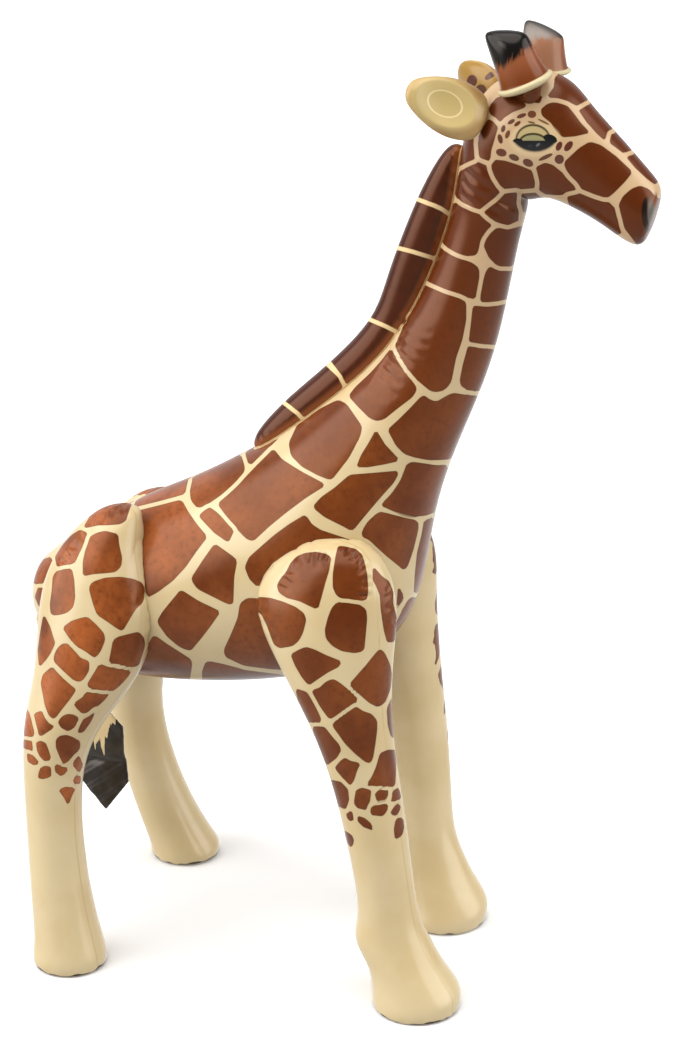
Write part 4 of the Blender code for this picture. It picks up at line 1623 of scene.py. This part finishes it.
@dataclass
class Leg:
    """One leg, from its arched top on the body's side down to its foot."""

    place: str
    rings: tuple[LegRing, ...]
    pose: LegPose
    near_pose: LegPose
    sole_radius: float
    patches: tuple[Patch, ...]
    rows: tuple[PuckerRow, ...] = ()
    segments: int = 8
    levels: int = 5
    bend_power: float = 1.5
    thigh_base: float = 290.0
    thigh_top: float = 450.0
    sole_thickness: float = 5.0
    sole_inset: float = 3.0
    wall_gap: float = 0.9
    top_gap: float = 0.7
    foot_round_share: float = 0.3
    foot_flat_share: float = 0.6
    pucker_pitch: float = 9.0
    pucker_depth: float = 2.2
    pucker_reach: float = 13.0
    scallop_pitch: float = 11.7
    scallop_sway: float = 0.4
    scallop_power: float = 1.6
    scallop_height: float = 9.0
    scallop_clear: float = 1.5
    scallop_pull: float = 1.1
    unevenness: float = 0.35
    lip_height: float = 4.0
    lip_lift: float = 1.6
    print_gap: float = 3.4
    seam_ways: tuple[tuple[float, float], ...] = ((0.34, -0.94), (-0.34, 0.94))

    def side(self) -> float:
        """Gives the sign of x on this leg's side."""
        return 1.0 if self.place.endswith("left") else -1.0

    def shift(self, height: float, pose: LegPose) -> Triple:
        """Gives how a stance moves the leg at a drawn height.

        Args:
            height: The drawn height in mm.
            pose: The stance.

        Returns:
            The move outwards, backwards and down, in mm.
        """
        foot = max(0.0, (pose.bend_top - height) / pose.bend_top) ** self.bend_power
        thigh = max(0.0, (height - self.thigh_base) / (self.thigh_top - self.thigh_base))
        return pose.out * foot, pose.back * foot + pose.thigh_back * thigh, pose.thigh_drop * thigh

    def hoops(self) -> list[Hoop]:
        """Gives the leg's rings in place, in metres.

        Returns:
            The rings from the top down, with those of the foot.
        """
        across = Vector((1.0, 0.0, 0.0))
        along = Vector((0.0, 1.0, 0.0))
        swell = cage_swell(self.segments) * MM
        made = []
        for ring in self.rings:
            out, back, drop = self.shift(ring.height, self.pose)
            centre = drawn(self.side() * (ring.out + out), ring.back + back, ring.height - drop)
            made.append(Hoop(centre, across, along, ring.half_width * swell, ring.half_length * swell))
        return made + self.foot_hoops(across, along)

    def foot_middle(self, height: float) -> Vector:
        """Gives the middle of the foot at a height in drawn mm, as a place in metres."""
        foot = self.rings[-1]
        return drawn(self.side() * (foot.out + self.pose.out), foot.back + self.pose.back, height)

    def foot_hoops(self, across: Vector, along: Vector) -> list[Hoop]:
        """Gives the rings that wrap the foot's film round its sole.

        Args:
            across: The direction of x.
            along: The direction of y.

        Returns:
            The lowest rings.
        """
        radius = self.sole_radius + self.sole_inset
        swelled = radius * cage_swell(self.segments)
        wall = (self.sole_radius + self.wall_gap) * cage_swell(self.segments)
        flat = self.sole_thickness + self.top_gap
        rounded = flat + (self.rings[-1].height - flat) * self.foot_round_share
        profile = (
            (rounded, swelled),
            (4.0, swelled - 0.4),
            (1.6, swelled - 1.3),
            (1.5, wall + 0.2),
            (3.6, wall),
            (flat, wall),
            (flat, wall - 1.6),
            (flat, radius * self.foot_flat_share),
        )
        return [Hoop(self.foot_middle(height), across, along, size * MM, size * MM)
                for height, size in profile]

    def to_near(self, points: np.ndarray) -> np.ndarray:
        """Carries points of this leg onto the near leg of its pair.

        Args:
            points: Places on this leg, in metres.

        Returns:
            The matching places on the near leg.
        """
        carried = mirrored_in(points)
        if self.pose == self.near_pose:
            return carried
        for number, point in enumerate(carried):
            height = point[2] / MM
            own = self.shift(height, self.pose)
            near = self.shift(height, self.near_pose)
            carried[number, 0] -= (near[0] - own[0]) * MM
            carried[number, 1] += (near[1] - own[1]) * MM
            carried[number, 2] += (own[2] - near[2]) * MM
        return carried

    def build(self, skin: BVHTree, cutter: Piece) -> Piece:
        """Builds the leg and cuts it back to the body.

        Args:
            skin: The body's search tree.
            cutter: The body's skin, moved out by the contact gap.

        Returns:
            The leg's mesh object.
        """
        leg = loft("leg_" + self.place + "_skin", self.hoops(), self.segments, self.levels - 1)
        pucker_weld(leg, skin, self.pucker_pitch, self.pucker_depth, self.pucker_reach)
        creases = [crease for row in self.rows for crease in row.creases()]
        if creases and self.pose == self.near_pose:
            press_creases(leg, creases, False)
        self.pucker_sole(leg)
        cut_back(leg, cutter)
        return leg

    def pucker_sole(self, leg: Piece) -> None:
        """Draws the foot's film together in puckers round the sole.

        Args:
            leg: The leg's mesh object.
        """
        points = corners_of(leg)
        middle = self.foot_middle(0.0)
        turn = np.arctan2(points[:, 1] - middle.y, points[:, 0] - middle.x)
        rise = points[:, 2] / MM
        away = np.hypot(points[:, 0] - middle.x, points[:, 1] - middle.y) / MM
        count = round(2 * math.pi * self.sole_radius / self.scallop_pitch)
        phase = turn * count / 2 + self.scallop_sway * np.sin(turn * 3)
        fold = (1 - np.abs(np.sin(phase))) ** self.scallop_power
        clear = np.clip((away - self.sole_radius) / self.scallop_clear - 1, 0.0, 1.0)
        uneven = 1 - self.unevenness + self.unevenness * np.sin(turn * 2.0 + 1.0)
        size = fold * np.exp(-((rise / self.scallop_height) ** 2)) * clear * uneven * MM
        points[:, 0] -= np.cos(turn) * size * self.scallop_pull
        points[:, 1] -= np.sin(turn) * size * self.scallop_pull
        points[:, 2] += size * np.exp(-((rise / self.lip_height) ** 2)) * self.lip_lift
        move_corners(leg, points)

    def seam_gaps(self, points: np.ndarray) -> np.ndarray:
        """Measures how far points are from the leg's two weld seams.

        Args:
            points: Places on the leg, in metres.

        Returns:
            The distances in mm.
        """
        shifts = [self.shift(ring.height, self.pose) for ring in self.rings]
        heights = np.array([ring.height - shift[2] for ring, shift in zip(self.rings, shifts)])
        outs = np.array([ring.out + shift[0] for ring, shift in zip(self.rings, shifts)])
        backs = np.array([ring.back + shift[1] for ring, shift in zip(self.rings, shifts)]) + BACK_SHIFT
        order = np.argsort(heights)
        away_x = points[:, 0] / MM * self.side() - np.interp(points[:, 2] / MM, heights[order], outs[order])
        away_y = points[:, 1] / MM - np.interp(points[:, 2] / MM, heights[order], backs[order])
        gaps = np.full(len(points), 99.0)
        for way_x, way_y in self.seam_ways:
            ahead = away_x * way_x + away_y * way_y > 0
            gaps = np.where(ahead, np.minimum(gaps, np.abs(away_x * way_y - away_y * way_x)), gaps)
        return gaps

    def dress(self, leg: Piece, film: bpy.types.Material) -> None:
        """Prints the coat on the leg.

        Args:
            leg: The leg's mesh object.
            film: The coat's material.
        """
        CoatPrint(self.patches, False, least_gap=self.print_gap).lay(leg, self.to_near)
        write_values(leg, "seam_gap", self.seam_gaps(corners_of(leg)))
        finish_piece(leg, film, ["leg_" + self.place])


@dataclass
class Mane:
    """The inflated ridge down the back of the neck. Rows are y, z, half depth and half width in drawn mm."""

    rows: tuple[tuple[float, float, float, float], ...] = (
        (-107.5, 791, 7, 8),
        (-101.5, 775, 13.5, 14),
        (-91.5, 744, 19, 16.5),
        (-78, 707, 20, 17),
        (-65, 668, 21, 17.5),
        (-54, 630, 20.5, 18),
        (-32, 598, 20, 18.5),
        (0, 565, 19.5, 19),
        (35, 534, 18.5, 18.5),
        (62, 509, 15, 15),
        (79, 492, 9, 9),
    )
    segments: int = 8
    levels: int = 4
    pucker_slope: float = 0.9
    pucker_sway: float = 30.0
    pucker_pitch: float = 13.0
    pucker_depth: float = 0.9
    pucker_reach: float = 8.0
    neck_line: float = 1.2

    def build(self, skin: BVHTree, cutter: Piece) -> Piece:
        """Builds the mane and cuts it back to the neck.

        Args:
            skin: The body's search tree.
            cutter: The body's skin, moved out by the contact gap.

        Returns:
            The mane's mesh object.
        """
        across = Vector((1.0, 0.0, 0.0))
        swell = cage_swell(self.segments) * MM
        centres = [drawn(0.0, y, z) for y, z, _, _ in self.rows]
        hoops = []
        for number, (_, _, half_depth, half_width) in enumerate(self.rows):
            before = centres[max(number - 1, 0)]
            after = centres[min(number + 1, len(centres) - 1)]
            outwards = (after - before).normalized().cross(across).normalized()
            hoops.append(Hoop(centres[number], across, outwards, half_width * swell, half_depth * swell))
        mane = loft("mane_skin", hoops, self.segments, self.levels)
        self.pucker(mane, skin)
        cut_back(mane, cutter)
        self.measure_weld(mane, skin)
        return mane

    def pucker(self, mane: Piece, skin: BVHTree) -> None:
        """Draws the film together along both welds, across the mane.

        Args:
            mane: The mane's mesh object.
            skin: The body's search tree.
        """
        points = corners_of(mane)
        normals = corners_of(mane, "normal")
        moved = np.zeros(len(points))
        for number, point in enumerate(points):
            gap = skin.find_nearest(Vector(point))[3] / MM
            run = (point[2] - point[1] * self.pucker_slope) / MM
            sway = noise.noise(Vector(point) * self.pucker_sway)
            fold = (1.0 - abs(math.sin(run / self.pucker_pitch * math.pi + sway))) ** 2
            moved[number] = -self.pucker_depth * fold * math.exp(-((gap / self.pucker_reach) ** 2))
        move_corners(mane, points + normals * (moved * MM)[:, None])

    def measure_weld(self, mane: Piece, skin: BVHTree) -> None:
        """Stores how far the mane's surface lies from the neck, in mm.

        Args:
            mane: The mane's mesh object.
            skin: The body's search tree.
        """
        gaps = [skin.find_nearest(Vector(point))[3] / MM for point in corners_of(mane)]
        write_values(mane, "weld_gap", np.array(gaps))

    def dress(self, mane: Piece, skin: BVHTree) -> None:
        """Prints the bands on the mane.

        Args:
            mane: The mane's mesh object.
            skin: The body's search tree.
        """
        CoatPrint(MANE_PATCHES, True, blend_facing=0.05).lay(mane, mirrored_in)
        keep_clear(mane, skin, self.neck_line)
        finish_piece(mane, ManeFilm().make(), ["mane"])


@dataclass
class Horn:
    """One horn with its welded collar. Rows are rise, half length and half width in drawn mm."""

    side_name: str
    side: float
    tip: Triple
    foot: Triple = (27, -171, 850)
    length: float = 56.0
    radius: float = 18.0
    top_slant: float = 0.45
    inner_drop: float = 13.0
    rear_lift: float = 5.0
    rows: tuple[Triple, ...] = (
        (-14, 7, 6),
        (-5, 9, 8),
        (0.4, 17, 15),
        (2.0, 24, 22),
        (6.2, 25, 23),
        (7.4, 21.6, 20.2),
        (9.5, 20.8, 19.6),
        (26, 18.5, 17.5),
        (44, 17.5, 14),
        (53, 16, 5),
    )
    segments: int = 8
    levels: int = 4

    def build(self, cutter: Piece, film: bpy.types.Material) -> None:
        """Builds the horn, cuts it back to the head and dresses it.

        Args:
            cutter: The body's skin, moved out by the contact gap.
            film: The horn's material.
        """
        foot = drawn(self.foot[0] * self.side, *self.foot[1:])
        tip = drawn(self.tip[0] * self.side, *self.tip[1:])
        upwards = (tip - foot).normalized()
        reach = (tip - foot).length
        across = Vector((1.0, 0.0, 0.0))
        across = (across - upwards * across.dot(upwards)).normalized()
        along = upwards.cross(across)
        swell = cage_swell(self.segments) * MM
        hoops = []
        for rise, half_length, half_width in self.rows:
            centre = foot + upwards * reach * rise / self.length
            slant = along + upwards * self.top_slant * max(0.0, rise / self.length) ** 2
            hoops.append(Hoop(centre, across, slant, half_width * swell, half_length * swell))
        horn = loft("horn_" + self.side_name + "_skin", hoops, self.segments, self.levels)
        cut_back(horn, cutter)
        offset = corners_of(horn) - np.array(foot)
        rises = offset @ np.array(upwards) / reach * self.length
        inwards = -(offset @ np.array(across)) * self.side / MM / self.radius
        backwards = offset[:, 1] / MM / self.radius
        lowered = self.inner_drop * np.clip(inwards, 0.0, 1.0)
        lowered -= self.rear_lift * np.clip(backwards, -1.0, 1.0)
        write_values(horn, "rise", rises)
        write_values(horn, "inner", inwards)
        write_values(horn, "tip_rise", rises - lowered)
        finish_piece(horn, film, ["horn_" + self.side_name])


@dataclass
class Ear:
    """One ear, a flat inflated leaf.

    Rows are the share of the length, the half width and the half thickness in drawn mm.
    """

    side_name: str
    side: float
    tip: Triple
    foot: Triple = (34, -134, 822)
    face: Triple = (0.80, -0.55, 0.25)
    rows: tuple[Triple, ...] = (
        (-0.05, 17, 8),
        (0.18, 24, 11),
        (0.45, 25, 12),
        (0.75, 18, 9),
        (0.97, 8, 4.5),
    )
    segments: int = 8
    levels: int = 4
    oval_share: float = 0.5
    oval_half: tuple[float, float] = (15.5, 10.5)
    dish: float = 6.5
    dish_reach: float = 1.75
    rear_oval: float = 1.3
    rear_fade: float = 2.0

    def build(self, cutter: Piece, film: bpy.types.Material) -> None:
        """Builds the ear, cuts it back to the head and dresses it.

        Args:
            cutter: The body's skin, moved out by the contact gap.
            film: The ear's material.
        """
        foot = drawn(self.foot[0] * self.side, *self.foot[1:])
        tip = drawn(self.tip[0] * self.side, *self.tip[1:])
        outwards = (tip - foot).normalized()
        face = Vector((self.face[0] * self.side, self.face[1], self.face[2]))
        face = (face - outwards * face.dot(outwards)).normalized()
        width_way = face.cross(outwards).normalized()
        swell = cage_swell(self.segments) * MM
        hoops = []
        for share, half_width, half_thickness in self.rows:
            centre = foot + (tip - foot) * share
            hoops.append(Hoop(centre, width_way, face, half_width * swell, half_thickness * swell))
        ear = loft("ear_" + self.side_name + "_skin", hoops, self.segments, self.levels)
        cut_back(ear, cutter)
        offset = (corners_of(ear) - np.array(foot + (tip - foot) * self.oval_share)) / MM
        along = offset @ np.array(outwards) / self.oval_half[0]
        across = offset @ np.array(width_way) / self.oval_half[1]
        away = np.hypot(along, across)
        ahead = offset @ np.array(face)
        write_values(ear, "oval", np.where(ahead > 0, away, np.maximum(away, self.rear_oval)))
        write_values(ear, "rear", np.clip(-ahead / self.rear_fade, 0.0, 1.0))
        sink = self.dish * MM * np.clip(1.0 - (away / self.dish_reach) ** 2, 0.0, 1.0) * (ahead > 0)
        move_corners(ear, corners_of(ear) - np.array(face) * sink[:, None])
        finish_piece(ear, film, ["ear_" + self.side_name])


@dataclass
class TailFlap:
    """The flat tail with its tuft, a double sheet welded round its edge."""

    voxel: float = 0.0012
    puff: float = 2.2
    tuft_middle: float = 0.2315
    tuft_half: Span = (0.026, 0.045)
    crease_height: float = 0.155
    crease_width: float = 0.003
    crease_share: float = 0.8
    lean: float = 0.28
    upper_lean: float = 0.168
    upper_reach: float = 0.05
    wrinkle_depth: float = 0.35
    wrinkle_ways: Span = (240.0, 330.0)
    wrinkle_top: float = 0.2
    wrinkle_blend: float = 0.03

    def build(self) -> None:
        """Builds the flap and dresses it."""
        flap = cad_copy("tail", "tail_flap")
        fine = flap.modifiers.new("Fine", "REMESH")
        fine.mode = "VOXEL"
        fine.voxel_size = self.voxel
        soften = flap.modifiers.new("Soften", "SMOOTH")
        soften.factor = 0.5
        soften.iterations = 4
        apply_all(flap)
        self.shape(flap)
        flap.data.shade_smooth()
        finish_piece(flap, TuftFilm().make(), ["tail"])

    def shape(self, flap: Piece) -> None:
        """Puffs the sheets apart a little and presses the fold across the tuft.

        Args:
            flap: The flap's mesh object.
        """
        points = corners_of(flap)
        rise = points[:, 2] - self.crease_height
        away = np.hypot((points[:, 1] - self.tuft_middle) / self.tuft_half[0], rise / self.tuft_half[1])
        puffed = self.puff * MM * np.clip(1 - away, 0.0, 1.0)
        fold = np.exp(-((rise / self.crease_width) ** 2)) * self.crease_share
        lean = self.lean * np.clip(-rise, 0.0, 1.0) + self.upper_lean * np.clip(rise, 0.0, self.upper_reach)
        wave = np.sin(points[:, 1] * self.wrinkle_ways[0] + points[:, 2] * self.wrinkle_ways[1])
        low = np.clip((self.wrinkle_top - points[:, 2]) / self.wrinkle_blend, 0.0, 1.0)
        wrinkle = self.wrinkle_depth * MM * wave**3 * low
        points[:, 0] += np.sign(points[:, 0]) * puffed * (1 - fold) - lean + wrinkle
        move_corners(flap, points)


@dataclass(frozen=True)
class Panel:
    """One soft panel of the light tent. Angles are degrees, turned from the viewer to the right and up."""

    turn: float
    rise: float
    radius: float
    brightness: float
    edge: float = 7.0

    def way(self) -> Vector:
        """Gives the direction in which the panel stands.

        Returns:
            A unit vector from the toy towards the panel.
        """
        turn = math.radians(PHOTO.azimuth + self.turn)
        rise = math.radians(self.rise)
        return Vector((math.sin(turn) * math.cos(rise), -math.cos(turn) * math.cos(rise), math.sin(rise)))


@dataclass(frozen=True)
class Studio:
    """A plain white floor in a light tent, with panels at both sides and overhead, and one soft lamp.

    The floor takes shadows but isn't mirrored in the film, as with a table that ends in front of the toy.
    """

    floor_size: float = 40.0
    floor_colour: str = "f2f2f2"
    floor_roughness: float = 0.9
    tent: float = 0.22
    panels: tuple[Panel, ...] = (
        Panel(-78.0, 22.0, 31.0, 3.5, 5.0),
        Panel(74.0, 18.0, 27.0, 3.3, 5.0),
        Panel(-35.0, 80.0, 33.0, 2.9, 6.0),
        Panel(180.0, 12.0, 50.0, 0.5, 20.0),
        Panel(0.0, -90.0, 80.0, 0.55, 10.0),
    )
    lamp_power: float = 6.0
    lamp_size: float = 0.9
    lamp_place: Triple = (-1.9, 0.9, 2.0)
    lamp_aim: Triple = (0.0, 0.0, 0.45)

    def build(self) -> None:
        """Makes the floor, the tent and the lamp."""
        activate(next(iter(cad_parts.values())))
        bpy.ops.mesh.primitive_plane_add(size=self.floor_size, location=(0.0, 0.0, 0.0))
        floor = bpy.context.object
        floor.name = "floor"
        material = bpy.data.materials.new("Matt white board")
        material.use_nodes = True
        shader = material.node_tree.nodes["Principled BSDF"]
        shader.inputs["Base Color"].default_value = linear(self.floor_colour)
        shader.inputs["Roughness"].default_value = self.floor_roughness
        floor.data.materials.append(material)
        floor.visible_glossy = False
        floor.visible_diffuse = False
        bpy.context.scene.view_settings.view_transform = "Standard"
        self.light_tent()
        self.lamp()

    def light_tent(self) -> None:
        """Makes the world's light from the panels, behind a plain white backdrop."""
        world = bpy.data.worlds.new("Light tent")
        world.use_nodes = True
        bpy.context.scene.world = world
        tree = world.node_tree
        way = add_node(tree, "TexCoord").outputs["Generated"]
        total = self.tent
        for panel in self.panels:
            near = add_node(tree, "VectorMath", operation="DOT_PRODUCT",
                            inputs={0: way, 1: tuple(panel.way())})
            glow = add_node(tree, "MapRange", interpolation_type="SMOOTHSTEP",
                            inputs={"Value": near.outputs["Value"],
                                    "From Min": math.cos(math.radians(panel.radius + panel.edge)),
                                    "From Max": math.cos(math.radians(panel.radius - panel.edge)),
                                    "To Max": panel.brightness})
            total = add_node(tree, "Math", operation="ADD",
                             inputs={0: glow.outputs["Result"], 1: total}).outputs[0]
        seen = add_node(tree, "LightPath").outputs["Is Camera Ray"]
        backdrop = add_node(tree, "MapRange",
                            inputs={"Value": seen, "To Min": total, "To Max": 1.0})
        sky = tree.nodes["Background"]
        sky.inputs["Color"].default_value = linear("ffffff")
        tree.links.new(backdrop.outputs["Result"], sky.inputs["Strength"])

    def lamp(self) -> None:
        """Adds the soft lamp up on the viewer's left."""
        data = bpy.data.lights.new("Soft lamp", "AREA")
        data.shape = "SQUARE"
        data.size = self.lamp_size
        data.energy = self.lamp_power
        lamp = bpy.data.objects.new("Soft lamp", data)
        bpy.context.scene.collection.objects.link(lamp)
        place = Vector(self.lamp_place)
        lamp.location = place
        lamp.rotation_mode = "QUATERNION"
        lamp.rotation_quaternion = (Vector(self.lamp_aim) - place).to_track_quat("-Z", "Y")


NEAR_FRONT = LegPose(0, -4, 480, 0, 0)
FAR_FRONT = LegPose(-30, 13, 480, 20, 18)
NEAR_HIND = LegPose(0, -2, 150, 0, 0)
FAR_HIND = LegPose(0, -33, 150, 26, 0)
FRONT_ROWS = (
    PuckerRow(((279, 590), (284, 576), (292, 563), (304, 556), (318, 553), (329, 555)),
              (322, 612), 8, 15, 2.8),
    PuckerRow(((345, 548), (356, 551), (365, 563), (369, 580), (368, 600)), (330, 598), 7, 13, 2.5),
    PuckerRow(((256, 602), (262, 622), (273, 643)), (320, 596), 5, 10, 2.0),
    PuckerRow(((389, 584), (394, 608), (397, 634)), (365, 608), 7, 9, 1.9, 1.9),
)
HIND_ROWS = (
    PuckerRow(((60, 562), (72, 545), (86, 530), (104, 515), (128, 502)), (96, 600), 12, 12, 2.3, 2.0),
    PuckerRow(((146, 530), (150, 570), (151, 610), (148, 650)), (90, 590), 7, 9, 1.2, 2.4),
)


def make_legs(skin: BVHTree, cutter: Piece) -> None:
    """Makes the four legs.

    Args:
        skin: The body's search tree.
        cutter: The body's skin, moved out by the contact gap.
    """
    film = CoatFilm("Printed PVC film, legs").make()
    legs = (
        Leg("front_right", FRONT_RINGS, NEAR_FRONT, NEAR_FRONT, 38, FRONT_PATCHES, FRONT_ROWS),
        Leg("front_left", FRONT_RINGS, FAR_FRONT, NEAR_FRONT, 38, FRONT_PATCHES, FRONT_ROWS),
        Leg("hind_right", HIND_RINGS, NEAR_HIND, NEAR_HIND, 32, HIND_PATCHES, HIND_ROWS),
        Leg("hind_left", HIND_RINGS, FAR_HIND, NEAR_HIND, 32, HIND_PATCHES, HIND_ROWS),
    )
    for leg in legs:
        leg.dress(leg.build(skin, cutter), film)


def make_head_pieces(cutter: Piece) -> None:
    """Makes the horns and ears.

    Args:
        cutter: The body's skin, moved out by the contact gap.
    """
    horn_film = HornFilm().make()
    ear_film = EarFilm().make()
    for horn in (Horn("right", -1.0, (31, -149, 901)), Horn("left", 1.0, (28, -171, 894))):
        horn.build(cutter, horn_film)
    for ear in (Ear("right", -1.0, (67, -75, 853)), Ear("left", 1.0, (62, -88, 842))):
        ear.build(cutter, ear_film)


def dress_soles() -> None:
    """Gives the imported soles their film."""
    film = SoleFilm().make()
    for name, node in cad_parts.items():
        if name.startswith("sole_"):
            node.data.materials.clear()
            node.data.materials.append(film)
            LOG.info("%s: kept, with its film", name)


def main() -> None:
    """Builds the studio and every piece of the toy."""
    logging.basicConfig(level=logging.INFO, format="%(name)s: %(message)s")
    PHOTO.make_camera()
    Studio().build()
    torso = Torso()
    skin, cutter = torso.build()
    surface = tree_of(skin)
    mane = Mane()
    ridge = mane.build(surface, cutter)
    torso.dress(skin, tree_of(ridge))
    mane.dress(ridge, surface)
    make_legs(surface, cutter)
    make_head_pieces(cutter)
    TailFlap().build()
    dress_soles()
    bpy.data.objects.remove(cutter)


if __name__ == "__main__":
    main()
